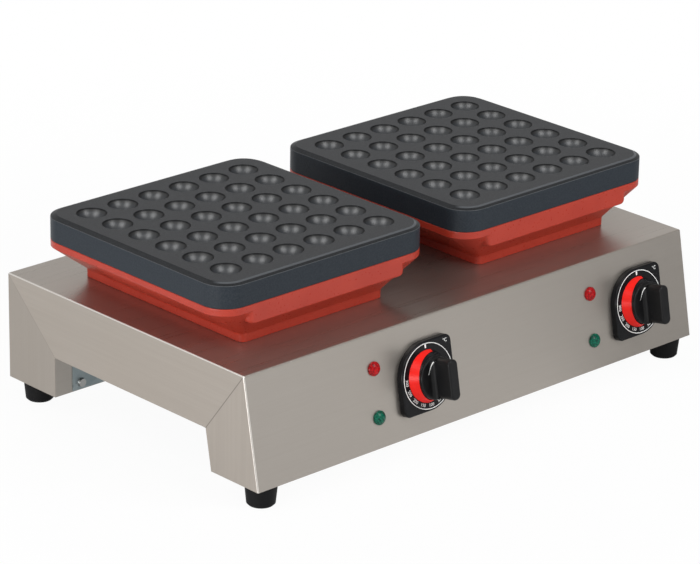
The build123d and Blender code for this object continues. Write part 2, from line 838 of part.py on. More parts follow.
# Controls: bezel, dial wedge, knob, spindle and thermostat for each module
cone_z = bezel_height + cone_height
disc_z = cone_z + knob_gap
disc_top_z = disc_z + knob_disc_height
body_front = -sheet - contact_gap
for side, x in control_x.items():
    dial = panel_plane(x, control_drop)
    with BuildPart() as bezel:
        with BuildSketch(dial):
            Circle(bezel_reach)
            with Locations(
                (bezel_reach / 2, bezel_reach / 2), (-bezel_reach / 2, -bezel_reach / 2)
            ):
                Rectangle(bezel_reach, bezel_reach)
            tips = [v for v in vertices() if abs(v.X + v.Y) > 1.6 * bezel_reach]
            fillet(tips, bezel_corner)
        extrude(amount=bezel_height)
        front_rim = bezel.faces().sort_by(Axis(dial.origin, dial.z_dir))[-1].edges()
        fillet(front_rim, bezel_round)
        with BuildSketch(dial.offset(bezel_height)):
            Circle(cone_base_radius)
        with BuildSketch(dial.offset(cone_z)):
            Circle(cone_top_radius)
        loft(ruled=True)
        with BuildSketch(dial):
            Circle(bezel_pocket_radius)
        extrude(amount=bezel_pocket_depth, mode=Mode.SUBTRACT)
        with BuildSketch(dial):
            Circle(bezel_bore_radius)
        extrude(amount=cone_z, mode=Mode.SUBTRACT)
        with BuildSketch(dial):
            with Locations((bezel_peg_reach, bezel_peg_reach), (-bezel_peg_reach, -bezel_peg_reach)):
                Circle(bezel_peg_radius)
        extrude(amount=-bezel_peg_length)
    bezel.part.label = f"bezel_{side}"
    export_step(bezel.part, f"parts/bezel_{side}.step")

    # Red crescent on the cone, widest at the top and thin at the bottom
    with BuildPart() as dial_wedge:
        with BuildSketch(dial.offset(bezel_height)):
            Circle(cone_base_radius + wedge_gap + wedge_thickness)
        with BuildSketch(dial.offset(cone_z)):
            Circle(cone_top_radius + wedge_gap + wedge_thickness)
        loft(ruled=True)
        with BuildSketch(dial.offset(bezel_height)):
            Circle(cone_base_radius + wedge_gap)
        with BuildSketch(dial.offset(cone_z)):
            Circle(cone_top_radius + wedge_gap)
        loft(ruled=True, mode=Mode.SUBTRACT)
        with BuildSketch(dial.offset(bezel_height)):
            with BuildLine():
                Polyline(
                    (0, 0),
                    (wedge_tail_x, -2 * cone_base_radius),
                    (-2 * cone_base_radius, -2 * cone_base_radius),
                    (-2 * cone_base_radius, 2 * cone_base_radius),
                    (wedge_head_x, 2 * cone_base_radius),
                    close=True,
                )
            make_face()
            with Locations((wedge_shift, 0)):
                Circle(wedge_inner_radius, mode=Mode.SUBTRACT)
        extrude(amount=cone_height, mode=Mode.INTERSECT)
    dial_wedge.part.label = f"dial_wedge_{side}"
    export_step(dial_wedge.part, f"parts/dial_wedge_{side}.step")

    # Knob: disc, upright grip bar blended into it, hub down to the thermostat's bush
    with BuildPart() as knob:
        with BuildSketch(dial.offset(disc_z)):
            RectangleRounded(grip_thickness, grip_length, grip_corner)
        extrude(amount=knob_height - disc_z)
        grip_rim = knob.faces().sort_by(Axis(dial.origin, dial.z_dir))[-1].edges()
        fillet(grip_rim, grip_round)
        with BuildSketch(dial.offset(disc_top_z)):
            Circle(knob_disc_radius - knob_edge_round)
            Rectangle(
                grip_thickness + 2 * grip_blend, 2 * knob_disc_radius, mode=Mode.INTERSECT
            )
        extrude(amount=grip_blend)
        for sign in (-1, 1):
            groove_x = sign * (grip_thickness / 2 + grip_blend)
            groove_centre = dial.offset(disc_top_z + grip_blend).from_local_coords((groove_x, 0))
            with BuildSketch(Plane(groove_centre, x_dir=(1, 0, 0), z_dir=dial.y_dir)):
                Circle(grip_blend)
            extrude(amount=knob_disc_radius, both=True, mode=Mode.SUBTRACT)
        with BuildSketch(Plane(dial.origin, x_dir=dial.x_dir, z_dir=-dial.y_dir)):
            with Locations((knob_disc_radius / 2, disc_z + knob_disc_height / 2)):
                Rectangle(knob_disc_radius, knob_disc_height)
            fillet(vertices().group_by(Axis.X)[-1], knob_edge_round)
        revolve(axis=Axis(dial.origin, dial.z_dir))
        with BuildSketch(dial.offset(bush_reach + 2 * contact_gap)):
            Circle(hub_radius)
        extrude(amount=disc_z - bush_reach - 2 * contact_gap)
        with BuildSketch(dial):
            Circle(spindle_radius + press_clearance)
        extrude(amount=spindle_reach + contact_gap, mode=Mode.SUBTRACT)
    knob.part.label = f"knob_{side}"
    export_step(knob.part, f"parts/knob_{side}.step")

    with BuildPart() as spindle:
        with BuildSketch(dial.offset(body_front - spindle_depth)):
            Circle(spindle_radius)
        extrude(amount=spindle_reach - body_front + spindle_depth)
    spindle.part.label = f"spindle_{side}"
    export_step(spindle.part, f"parts/spindle_{side}.step")

    with BuildPart() as thermostat:
        with BuildSketch(dial.offset(body_front)):
            RectangleRounded(thermostat_length, thermostat_width, thermostat_corner_radius)
        extrude(amount=-thermostat_depth)
        with BuildSketch(dial.offset(body_front)):
            Circle(bush_radius)
        extrude(amount=bush_reach - body_front)
        with BuildSketch(dial.offset(body_front - spindle_depth - contact_gap)):
            Circle(spindle_radius + running_clearance)
        extrude(amount=thermostat_depth, mode=Mode.SUBTRACT)
        with BuildSketch(dial.offset(body_front)):
            with Locations((-thermostat_screw_x, 0), (thermostat_screw_x, 0)):
                Circle(thermostat_screw_radius + thread_clearance)
        extrude(amount=-thermostat_screw_bite - contact_gap, mode=Mode.SUBTRACT)
    thermostat.part.label = f"thermostat_{side}"
    export_step(thermostat.part, f"parts/thermostat_{side}.step")

    # Sensor bulb under the plate and its capillary down to the thermostat
    mx = module_x[side]
    bulb_z = slab_z - element_seat_gap - bulb_radius
    port = panel_plane(x, control_drop - capillary_port_y, body_front - thermostat_depth).origin
    with BuildPart() as sensor:
        with BuildSketch(Plane((mx, module_y + bulb_end_y, bulb_z), z_dir=(0, -1, 0))):
            Circle(bulb_radius)
        extrude(amount=bulb_length)
        with BuildLine() as capillary_path:
            FilletPolyline(
                (mx, module_y + bulb_end_y - 2, bulb_z),
                (mx, module_y + capillary_y, bulb_z),
                (mx, module_y + capillary_y, port.Z),
                (x, module_y + capillary_y, port.Z),
                (x, port.Y + 2 * contact_gap, port.Z),
                radius=capillary_bend,
            )
        with BuildSketch(Plane(origin=capillary_path.line @ 0, z_dir=capillary_path.line % 0)):
            Circle(capillary_radius)
        sweep()
    sensor.part.label = f"sensor_{side}"
    export_step(sensor.part, f"parts/sensor_{side}.step")

    # Pilot lamps: a domed lens through the panel and a body pushed on from behind
    for colour, drop in lamp_drops.items():
        spot = panel_plane(x + lamp_offset, drop)
        with BuildPart() as lamp_lens:
            with BuildSketch(Plane(spot.origin, x_dir=spot.x_dir, z_dir=-spot.y_dir)):
                with BuildLine():
                    Polyline(
                        (0, lens_flange + lens_dome),
                        (0, -lens_shank_length),
                        (lens_shank_radius, -lens_shank_length),
                        (lens_shank_radius, 0),
                        (lens_radius, 0),
                        (lens_radius, lens_flange),
                    )
                    TangentArc(
                        (0, lens_flange + lens_dome), (lens_radius, lens_flange), tangent=(1, 0)
                    )
                make_face()
            revolve(axis=Axis(spot.origin, spot.z_dir))
        lamp_lens.part.label = f"lamp_lens_{colour}_{side}"
        export_step(lamp_lens.part, f"parts/lamp_lens_{colour}_{side}.step")
        with BuildPart() as lamp_body:
            with BuildSketch(spot.offset(-sheet)):
                Circle(lamp_body_radius)
            extrude(amount=-lamp_body_length)
            with BuildSketch(spot):
                Circle(lens_shank_radius + hole_clearance)
            extrude(amount=-lens_shank_length - contact_gap, mode=Mode.SUBTRACT)
            with BuildSketch(spot.offset(-sheet - lamp_body_length)):
                with Locations((-lamp_body_radius / 2, 0), (lamp_body_radius / 2, 0)):
                    Rectangle(lamp_tag_thickness, lamp_tag_width)
            extrude(amount=-lamp_tag_length)
        lamp_body.part.label = f"lamp_body_{colour}_{side}"
        export_step(lamp_body.part, f"parts/lamp_body_{colour}_{side}.step")

with BuildPart() as thermostat_screws:
    for x in control_x.values():
        dial = panel_plane(x, control_drop)
        with BuildSketch(dial):
            with Locations((-thermostat_screw_x, 0), (thermostat_screw_x, 0)):
                Circle(thermostat_screw_head_radius)
        extrude(amount=thermostat_screw_head)
        with BuildSketch(dial):
            with Locations((-thermostat_screw_x, 0), (thermostat_screw_x, 0)):
                Circle(thermostat_screw_radius)
        extrude(amount=body_front - thermostat_screw_bite)
thermostat_screws.part.label = "thermostat_screws"
export_step(thermostat_screws.part, "parts/thermostat_screws.step")

# Cable gland through the rear wall, bored for the supply cord
gland_plane = Plane((gland_x, rear_y, bottom_z + gland_rise), x_dir=(1, 0, 0), z_dir=(0, 1, 0))
with BuildPart() as cable_gland:
    with BuildSketch(gland_plane):
        RegularPolygon(gland_flange_width / 2, 6, major_radius=False)
    extrude(amount=gland_flange)
    with BuildSketch(gland_plane.offset(gland_flange)):
        Circle(gland_dome_radius)
    extrude(amount=gland_reach - gland_flange)
    fillet(cable_gland.edges().sort_by(Axis.Y)[-1], gland_dome_round)
    with BuildSketch(gland_plane):
        Circle(gland_thread_radius)
    extrude(amount=-sheet - gland_inside)
    with BuildSketch(gland_plane.offset(-sheet - gland_inside)):
        Circle(gland_bore_radius)
    extrude(amount=sheet + gland_inside + gland_reach, mode=Mode.SUBTRACT)
cable_gland.part.label = "cable_gland"
export_step(cable_gland.part, "parts/cable_gland.step")

with BuildPart() as gland_locknut:
    with BuildSketch(gland_plane.offset(-sheet)):
        RegularPolygon(locknut_width / 2, 6, major_radius=False)
        Circle(gland_thread_radius + thread_clearance, mode=Mode.SUBTRACT)
    extrude(amount=-locknut_height)
gland_locknut.part.label = "gland_locknut"
export_step(gland_locknut.part, "parts/gland_locknut.step")

# Terminal block on the inner side of the rear wall
block_plane = Plane((block_x, rear_y - sheet, bottom_z + block_rise), x_dir=(1, 0, 0), z_dir=(0, -1, 0))
block_screws = [(-block_screw_spacing / 2, 0), (block_screw_spacing / 2, 0)]
with BuildPart() as terminal_block:
    with BuildSketch(block_plane):
        Rectangle(block_length, block_height)
    extrude(amount=block_depth)
    with BuildSketch(block_plane):
        with Locations(*block_screws):
            Circle(block_screw_radius + thread_clearance)
    extrude(amount=block_screw_bite + contact_gap, mode=Mode.SUBTRACT)
terminal_block.part.label = "terminal_block"
export_step(terminal_block.part, "parts/terminal_block.step")

with BuildPart() as terminal_screws:
    with BuildSketch(block_plane.offset(-sheet)):
        with Locations(*block_screws):
            Circle(block_screw_head_radius)
    extrude(amount=-block_screw_head, taper=12)
    with BuildSketch(block_plane.offset(-sheet)):
        with Locations(*block_screws):
            Circle(block_screw_radius)
    extrude(amount=sheet + block_screw_bite)
terminal_screws.part.label = "terminal_screws"
export_step(terminal_screws.part, "parts/terminal_screws.step")

# Earth screw through the rear leg's floor
earth_spot = (earth_x, rear_y - rear_leg_depth / 2)
with BuildPart() as earth_screw:
    with BuildSketch(Plane.XY.offset(bottom_z - earth_head)):
        with Locations(earth_spot):
            Circle(earth_head_radius)
    extrude(amount=earth_head)
    with BuildSketch(Plane.XY.offset(bottom_z)):
        with Locations(earth_spot):
            Circle(earth_screw_radius)
    extrude(amount=earth_length)
earth_screw.part.label = "earth_screw"
export_step(earth_screw.part, "parts/earth_screw.step")

with BuildPart() as earth_nut:
    with BuildSketch(Plane.XY.offset(bottom_z + sheet)):
        with Locations(earth_spot):
            RegularPolygon(earth_nut_width / 2, 6, major_radius=False)
            Circle(earth_screw_radius + thread_clearance, mode=Mode.SUBTRACT)
    extrude(amount=earth_nut_height)
earth_nut.part.label = "earth_nut"
export_step(earth_nut.part, "parts/earth_nut.step")


def wire_along(points):
    """One insulated wire swept along rounded straight runs."""
    with BuildPart() as wire:
        with BuildLine() as path:
            FilletPolyline(*points, radius=wire_bend)
        with BuildSketch(Plane(origin=path.line @ 0, z_dir=path.line % 0)):
            Circle(wire_radius)
        sweep()
    return wire


block_front_y = rear_y - sheet - block_depth - contact_gap
block_z = bottom_z + block_rise
block_ports = {
    ("live", "left"): -3.5 * wire_lane,
    ("neutral", "left"): -1.5 * wire_lane,
    ("neutral", "right"): 1.5 * wire_lane,
    ("live", "right"): 3.5 * wire_lane,
}
lanes = {name: block_front_y - (n + 3) * wire_lane for n, name in enumerate(block_ports)}
for side, x in control_x.items():
    mx = module_x[side]
    back = panel_plane(x, control_drop - wire_port_y, body_front - thermostat_depth).origin
    port_y = back.Y + 2 * contact_gap + wire_radius * tan(panel_angle)
    pin_z = top_z - cold_end_drop - cold_pin_length - contact_gap

    # Terminal block to thermostat
    start_x = block_x + block_ports["live", side]
    lane_y = lanes["live", side]
    live_wire = wire_along(
        [
            (start_x, block_front_y, block_z),
            (start_x, lane_y, block_z),
            (start_x, lane_y, back.Z + 2 * wire_bend + 1),
            (x + live_port_x, lane_y, back.Z + 2 * wire_bend + 1),
            (x + live_port_x, port_y + 4 * wire_bend, back.Z + 2 * wire_bend + 1),
            (x + live_port_x, port_y + 2 * wire_bend, back.Z),
            (x + live_port_x, port_y, back.Z),
        ]
    )
    live_wire.part.label = f"live_wire_{side}"
    export_step(live_wire.part, f"parts/live_wire_{side}.step")

    # Thermostat to the element's left end
    load_z = top_z - load_level
    load_wire = wire_along(
        [
            (x + load_port_x, port_y, back.Z),
            (x + load_port_x, port_y + 3 * wire_bend, back.Z),
            (x + load_port_x, port_y + 3 * wire_bend, load_z),
            (mx - element_inner_x, port_y + 3 * wire_bend, load_z),
            (mx - element_inner_x, module_y + cold_end_y, load_z),
            (mx - element_inner_x, module_y + cold_end_y, pin_z),
        ]
    )
    load_wire.part.label = f"load_wire_{side}"
    export_step(load_wire.part, f"parts/load_wire_{side}.step")

    # Element's right end back to the terminal block
    start_x = block_x + block_ports["neutral", side]
    lane_y = lanes["neutral", side]
    run_z = top_z - neutral_level + (neutral_level_step if side == "left" else 0) * -1
    neutral_wire = wire_along(
        [
            (mx + element_inner_x, module_y + cold_end_y, pin_z),
            (mx + element_inner_x, module_y + cold_end_y, run_z),
            (mx + element_inner_x, lane_y, run_z),
            (start_x, lane_y, run_z),
            (start_x, lane_y, block_z),
            (start_x, block_front_y, block_z),
        ]
    )
    neutral_wire.part.label = f"neutral_wire_{side}"
    export_step(neutral_wire.part, f"parts/neutral_wire_{side}.step")
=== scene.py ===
# Looks for a countertop cooker with two baking plates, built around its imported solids.
# Frame: metres, +Z up, controls facing -Y, floor at Z = 0.

import math

import bmesh
import bpy
from mathutils import Matrix, Vector
from mathutils.bvhtree import BVHTree


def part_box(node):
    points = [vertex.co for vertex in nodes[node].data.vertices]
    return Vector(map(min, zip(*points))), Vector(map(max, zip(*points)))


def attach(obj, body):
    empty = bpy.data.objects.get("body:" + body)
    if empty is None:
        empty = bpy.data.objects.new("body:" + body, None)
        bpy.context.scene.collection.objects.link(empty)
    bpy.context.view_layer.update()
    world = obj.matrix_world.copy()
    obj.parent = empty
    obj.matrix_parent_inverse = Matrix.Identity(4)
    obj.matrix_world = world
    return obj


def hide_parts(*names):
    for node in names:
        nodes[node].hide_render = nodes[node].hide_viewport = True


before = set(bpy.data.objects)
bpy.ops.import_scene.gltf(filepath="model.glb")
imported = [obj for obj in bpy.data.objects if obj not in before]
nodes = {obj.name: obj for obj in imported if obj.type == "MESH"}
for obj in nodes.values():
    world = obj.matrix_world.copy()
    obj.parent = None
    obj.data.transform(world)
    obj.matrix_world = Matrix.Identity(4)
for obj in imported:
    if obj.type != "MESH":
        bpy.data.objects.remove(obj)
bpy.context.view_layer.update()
scene = bpy.context.scene
SIDES = ("left", "right")
BODY = "cooker"
KNOB_BODY = {side: f"{side}_control" for side in SIDES}
X_AXIS, Y_AXIS, Z_AXIS = (1, 0, 0), (0, 1, 0), (0, 0, 1)
MM = 0.001
SHARP_DEGREES = 40.0

# Housing: its box comes from the solid, the rest are the fold lines that the steel follows
shell_low, shell_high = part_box("housing_shell")
PANEL_RUN = 0.0215
SKIRT_DEPTH = 0.0685
FRONT_LEG = 0.066
REAR_LEG = 0.0732
TOP_Z = shell_high.z
FRONT_Y = shell_low.y + PANEL_RUN
REAR_Y = shell_high.y
HALF_LENGTH = shell_high.x
PANEL_ANGLE = math.atan2(PANEL_RUN, TOP_Z - shell_low.z)
PANEL_OUT = Vector((0, -math.cos(PANEL_ANGLE), math.sin(PANEL_ANGLE)))
PANEL_UP = Vector((0, math.sin(PANEL_ANGLE), math.cos(PANEL_ANGLE)))
SKIRT_Z = TOP_Z - SKIRT_DEPTH
FRONT_LEG_Y = FRONT_Y - SKIRT_DEPTH * math.tan(PANEL_ANGLE) + FRONT_LEG
REAR_LEG_Y = REAR_Y - REAR_LEG

# Dials, measured down the panel's slope and out from its face
CONTROL_DROP = 0.0567
BEZEL_HEIGHT = 0.0072


def box_centre(node):
    """Middle of a node's box."""
    low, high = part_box(node)
    return (low + high) / 2


def panel_point(x, drop, lift=0.0):
    """Point on the control panel, measured down its slope and out from its face."""
    return Vector((x, FRONT_Y, TOP_Z)) - PANEL_UP * drop + PANEL_OUT * lift


# Mix node: where its inputs start and which output it uses, by kind of value
MIX_SOCKETS = {"FLOAT": (2, 0), "VECTOR": (4, 1), "RGBA": (6, 2)}


class Graph:
    """Builds the node tree of a material or of the world."""

    def __init__(self, owner, output="ShaderNodeOutputMaterial"):
        owner.use_nodes = True
        self.owner = owner
        self.tree = owner.node_tree
        self.tree.nodes.clear()
        self.output = self.tree.nodes.new(output)
        coordinates = self.node("ShaderNodeTexCoord").outputs
        self.place = coordinates["Object"]
        self.normal = coordinates["Normal"]
        self.way = coordinates["Generated"]

    def put(self, socket, value):
        """Link a socket or set its number or colour."""
        if isinstance(value, bpy.types.NodeSocket):
            self.tree.links.new(value, socket)
        else:
            socket.default_value = value

    def node(self, kind, *values, **settings):
        """New node; positional values fill its inputs in order."""
        made = self.tree.nodes.new(kind)
        for name, value in settings.items():
            setattr(made, name, value)
        for socket, value in zip(made.inputs, values):
            self.put(socket, value)
        return made

    def named(self, kind, **values):
        """New node's first output; values fill inputs by name, underscores stand for spaces."""
        made = self.tree.nodes.new(kind)
        for name, value in values.items():
            self.put(made.inputs[name.replace("_", " ")], value)
        return made.outputs[0]

    def calc(self, operation, *values):
        """Math node's result."""
        return self.node("ShaderNodeMath", *values, operation=operation).outputs[0]

    def product(self, first, *others):
        """Product of numbers, such as masks."""
        for other in others:
            first = self.calc("MULTIPLY", first, other)
        return first

    def inverse(self, value):
        """One less a number."""
        return self.calc("SUBTRACT", 1.0, value)

    def vector(self, operation, *values):
        """Vector math node's vector result."""
        return self.node("ShaderNodeVectorMath", *values, operation=operation).outputs[0]

    def measure(self, operation, *values):
        """Vector math node's number result."""
        return self.node("ShaderNodeVectorMath", *values, operation=operation).outputs["Value"]

    def dot(self, a, b):
        """Dot product of two vectors."""
        return self.measure("DOT_PRODUCT", a, b)

    def height(self):
        """Height above the floor."""
        return self.dot(self.place, Z_AXIS)

    def stretch(self, x, y, z):
        """Object coordinates multiplied along each axis, in cells per metre."""
        return self.vector("MULTIPLY", self.place, (x, y, z))

    def noise(self, vector, scale=1.0, detail=2.0, roughness=0.5):
        """Noise value, about 0.5 on average."""
        return self.named(
            "ShaderNodeTexNoise", Vector=vector, Scale=scale, Detail=detail, Roughness=roughness
        )

    def cells(self, scale, output="Distance"):
        """Result of a pattern of irregular cells."""
        made = self.node("ShaderNodeTexVoronoi")
        self.put(made.inputs["Vector"], self.place)
        self.put(made.inputs["Scale"], scale)
        return made.outputs[output]

    def span(self, value, low, high, to_low=0.0, to_high=1.0):
        """Value moved from one range to another, held at its ends."""
        made = self.node("ShaderNodeMapRange", value, low, high, to_low, to_high, clamp=True)
        return made.outputs[0]

    def smooth(self, value, low, high):
        """Smooth step from 0 at low to 1 at high."""
        made = self.node(
            "ShaderNodeMapRange", value, low, high, 0.0, 1.0, interpolation_type="SMOOTHSTEP"
        )
        return made.outputs[0]

    def blend(self, amount, first, second, kind="RGBA"):
        """Mix of two colours, vectors or numbers."""
        made = self.node("ShaderNodeMix", amount, data_type=kind)
        entry, result = MIX_SOCKETS[kind]
        self.put(made.inputs[entry], first)
        self.put(made.inputs[entry + 1], second)
        return made.outputs[result]

    def tint(self, base, mask, strength, colour):
        """Colour laid over another where a mask is, at a strength."""
        return self.blend(self.product(mask, strength), base, colour)

    def bump(self, height, distance, strength):
        """Normal from a height."""
        return self.named("ShaderNodeBump", Height=height, Distance=distance, Strength=strength)

    def principled(self, **values):
        """Principled shader; names use underscores for spaces."""
        return self.named("ShaderNodeBsdfPrincipled", **values)

    def out(self, shader):
        """Wire a shader to the output; returns the material or the world."""
        self.tree.links.new(shader, self.output.inputs["Surface"])
        return self.owner


def material(name):
    """Graph of a new material."""
    return Graph(bpy.data.materials.new(name))


def rgb(red, green, blue):
    """Colour written in screen values from 0 to 255."""
    return tuple(
        c / 12.92 if c <= 0.04045 else ((c + 0.055) / 1.055) ** 2.4
        for c in (red / 255, green / 255, blue / 255)
    ) + (1.0,)


FINE_BRUSHING = (9, 1700)  # cells per metre along and across the grain
BROAD_BRUSHING = (3, 260)
WELD_HALF = (0.0002, 0.0007)  # half width of a ground weld, full and faded out
SKIRT_MARGIN = 0.0005


def housing_steel():
    """Brushed stainless sheet: grain along each fold, ground mitre welds on the sides; painted
    shade on the rear flaps and the panel face, and a painted highlight on the end bends.
    """
    g = material("brushed_stainless")
    endwise = g.calc("ABSOLUTE", g.dot(g.normal, X_AXIS))
    side = g.smooth(endwise, 0.6, 0.8)

    # Signed distance past each mitre line, which runs from the leg's inner corner to the fold
    rear_run = Vector((0, REAR_Y - REAR_LEG_Y, SKIRT_DEPTH)).normalized()
    front_run = Vector((0, FRONT_Y - FRONT_LEG_Y, SKIRT_DEPTH)).normalized()
    mitres = (
        (Vector((0, REAR_LEG_Y, SKIRT_Z)), Vector((0, rear_run.z, -rear_run.y))),
        (Vector((0, FRONT_LEG_Y, SKIRT_Z)), Vector((0, -front_run.z, front_run.y))),
    )
    past_rear, past_front = (
        g.dot(g.vector("SUBTRACT", g.place, corner), across) for corner, across in mitres
    )
    rear_flap = g.calc("GREATER_THAN", past_rear, 0.0)
    front_flap = g.calc("GREATER_THAN", past_front, 0.0)
    leg = g.product(side, g.calc("MAXIMUM", rear_flap, front_flap))

    def brushing(cells, detail, roughness):
        """Noise drawn out along the fold that each face belongs to."""
        along, across = cells
        level = g.stretch(along, across, across)
        skirt = g.stretch(across, along, across)
        upright = g.stretch(across, across, along)
        way = g.blend(side, level, skirt, "VECTOR")
        return g.noise(g.blend(leg, way, upright, "VECTOR"), detail=detail, roughness=roughness)

    fine = brushing(FINE_BRUSHING, 3.0, 0.65)
    broad = brushing(BROAD_BRUSHING, 2.0, 0.5)
    cloud = g.noise(g.place, scale=9.0)
    grain = g.calc("MULTIPLY_ADD", fine, 0.62, g.product(broad, 0.38))
    colour = g.blend(g.span(grain, 0.3, 0.7), rgb(166, 158, 149), rgb(176, 168, 160))
    colour = g.blend(g.span(cloud, 0.35, 0.65, 0.0, 0.25), colour, rgb(168, 159, 148))

    full, faded = WELD_HALF
    rear_weld = g.product(g.smooth(g.calc("ABSOLUTE", past_rear), faded, full), 0.4)
    front_weld = g.smooth(g.calc("ABSOLUTE", past_front), faded, full)
    above = g.calc("GREATER_THAN", g.height(), SKIRT_Z - SKIRT_MARGIN)
    weld = g.product(g.calc("MAXIMUM", rear_weld, front_weld), side, above)
    colour = g.tint(colour, weld, 0.6, rgb(92, 88, 84))
    # Painted shade: the rear flaps on the ends are tinted darker than the rest of the side
    colour = g.tint(colour, g.product(side, rear_flap), 0.35, rgb(146, 140, 133))

    facing = g.dot(g.normal, PANEL_OUT)
    # Painted shade: faces turned like the control panel are tinted darker
    colour = g.tint(colour, g.smooth(facing, 0.8, 0.95), 0.6, rgb(162, 157, 151))
    # Painted highlight: the bends round the ends are tinted near white
    painted_bend_highlight = g.product(g.smooth(endwise, 0.15, 0.4), g.smooth(endwise, 0.98, 0.88))
    colour = g.tint(colour, painted_bend_highlight, 0.8, rgb(236, 232, 226))
    off_corner = g.calc("ABSOLUTE", g.calc("SUBTRACT", endwise, 0.707))
    upright = g.smooth(g.calc("ABSOLUTE", facing), 0.3, 0.5)
    seam = g.product(g.smooth(off_corner, 0.16, 0.06), upright)
    colour = g.tint(colour, seam, 0.8, rgb(120, 116, 110))

    level = g.smooth(g.dot(g.normal, Z_AXIS), 0.7, 0.95)
    rough = g.calc("SUBTRACT", g.span(grain, 0.25, 0.75, 0.28, 0.38), g.product(level, 0.03))
    lift = g.calc("MULTIPLY_ADD", weld, 0.5, g.product(grain, 0.35))
    bump = g.bump(lift, 0.00003, 0.5)
    return g.out(g.principled(Base_Color=colour, Metallic=0.84, Roughness=rough, Normal=bump))


DARKER_METAL = 0.76


def plain_steel(name, colour, roughness, grain):
    """Turned, rolled or plated metal; its grain is in cells per metre along each axis."""
    g = material(name)
    fine = g.noise(g.stretch(*grain), detail=3.0, roughness=0.6)
    cloud = g.noise(g.place, scale=60.0)
    darker = tuple(c * DARKER_METAL for c in colour[:3]) + (1.0,)
    mixed = g.calc("MULTIPLY_ADD", fine, 0.6, g.product(cloud, 0.4))
    tint = g.blend(g.span(mixed, 0.3, 0.7), darker, colour)
    rough = g.span(mixed, 0.2, 0.8, roughness * 0.8, roughness * 1.25)
    bump = g.bump(fine, 0.00003, 0.5)
    return g.out(g.principled(Base_Color=tint, Metallic=1.0, Roughness=rough, Normal=bump))


def galvanised():
    """Dull zinc with a spangle of crystals."""
    g = material("galvanised_sheet")
    tone = g.dot(g.cells(130.0, "Color"), (0.33, 0.33, 0.33))
    fine = g.noise(g.place, scale=900.0)
    colour = g.blend(g.span(tone, 0.1, 0.9), rgb(128, 139, 142), rgb(160, 170, 172))
    rough = g.span(tone, 0.1, 0.9, 0.38, 0.55)
    bump = g.bump(fine, 0.00003, 0.4)
    return g.out(g.principled(Base_Color=colour, Metallic=0.9, Roughness=rough, Normal=bump))


MOULD_FIELD = 0.1165  # half width of the square on a plate that holds its moulds


def cast_plate():
    """Dark fine-grained casting, seasoned by use, with smoother moulds; painted shade darkens the
    moulds, their lips and the plate's shoulder, painted highlights lighten its creases, and a
    painted reflection tints its upright walls.
    """
    g = material("seasoned_cast_plate")
    grit = g.noise(g.place, scale=620.0, detail=4.0, roughness=0.75)
    pits = g.noise(g.place, scale=420.0, roughness=0.6)
    patch = g.noise(g.place, scale=60.0, detail=3.0, roughness=0.6)

    # Masks; upward is 1 on level faces and 0 on upright ones
    upward = g.dot(g.normal, Z_AXIS)
    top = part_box("baking_plate_left")[1].z
    field = 0.0
    for side in SIDES:
        centre = box_centre(f"baking_plate_{side}")
        off = g.vector("ABSOLUTE", g.vector("SUBTRACT", g.place, tuple(centre)))
        far = g.calc("MAXIMUM", g.dot(off, X_AXIS), g.dot(off, Y_AXIS))
        field = g.calc("MAXIMUM", field, g.calc("LESS_THAN", far, MOULD_FIELD))
    mould = g.product(g.smooth(g.height(), top - 0.0004, top - 0.0022), field)
    outer = g.inverse(mould)
    shoulder = g.product(g.smooth(upward, 0.975, 0.95), g.smooth(upward, 0.86, 0.89))
    painted_crease_highlight = g.product(g.smooth(upward, 0.88, 0.80), g.smooth(upward, 0.30, 0.40), outer)
    front = g.smooth(g.dot(g.normal, (0, -1, 0)), 0.10, 0.25)
    painted_front_crease_highlight = g.product(
        g.smooth(g.height(), top - 0.0012, top - 0.0008), front, outer, g.inverse(field)
    )
    rim = g.product(g.smooth(upward, 0.97, 0.85), field)
    wall = g.smooth(upward, 0.25, 0.05)

    colour = g.blend(g.span(grit, 0.38, 0.62), rgb(20, 21, 23), rgb(58, 59, 61))
    colour = g.blend(g.span(pits, 0.35, 0.65, 0.0, 0.5), colour, rgb(40, 41, 44))
    colour = g.blend(g.span(patch, 0.35, 0.7, 0.0, 0.3), colour, rgb(46, 48, 51))
    # Painted shade: the sloped shoulder is darkened
    colour = g.tint(colour, shoulder, 0.5, rgb(22, 24, 26))
    # Painted highlight: the lower crease round the plate is lightened
    colour = g.tint(colour, painted_crease_highlight, 0.5, rgb(98, 102, 106))
    # Painted highlight: the upper crease along the front is lightened
    colour = g.tint(colour, painted_front_crease_highlight, 0.5, rgb(110, 113, 117))
    # Painted shade: the lips round the moulds are darkened nearly to black
    colour = g.blend(rim, colour, rgb(12, 13, 15))
    # Painted reflection: upright walls are tinted blue-grey
    colour = g.tint(colour, wall, 0.6, rgb(38, 46, 54))
    rough = g.span(grit, 0.2, 0.8, 0.36, 0.50)
    bump = g.bump(g.calc("ADD", grit, pits), 0.00008, 0.5)
    plain = g.principled(Base_Color=colour, Roughness=rough, Normal=bump, IOR=1.24)

    # Painted shade: the moulds get a darker base than the flat, and their steep walls go near
    # black
    hollow_with_painted_shade = g.blend(g.span(grit, 0.3, 0.7), rgb(14, 18, 22), rgb(32, 37, 43))
    hollow_with_painted_shade = g.blend(g.smooth(upward, 0.58, 0.44), hollow_with_painted_shade, rgb(7, 8, 9))
    smoother = g.span(grit, 0.2, 0.8, 0.32, 0.42)
    bowl = g.principled(Base_Color=hollow_with_painted_shade, Roughness=smoother, Normal=bump, IOR=1.72)
    return g.out(g.node("ShaderNodeMixShader", mould, plain, bowl).outputs[0])


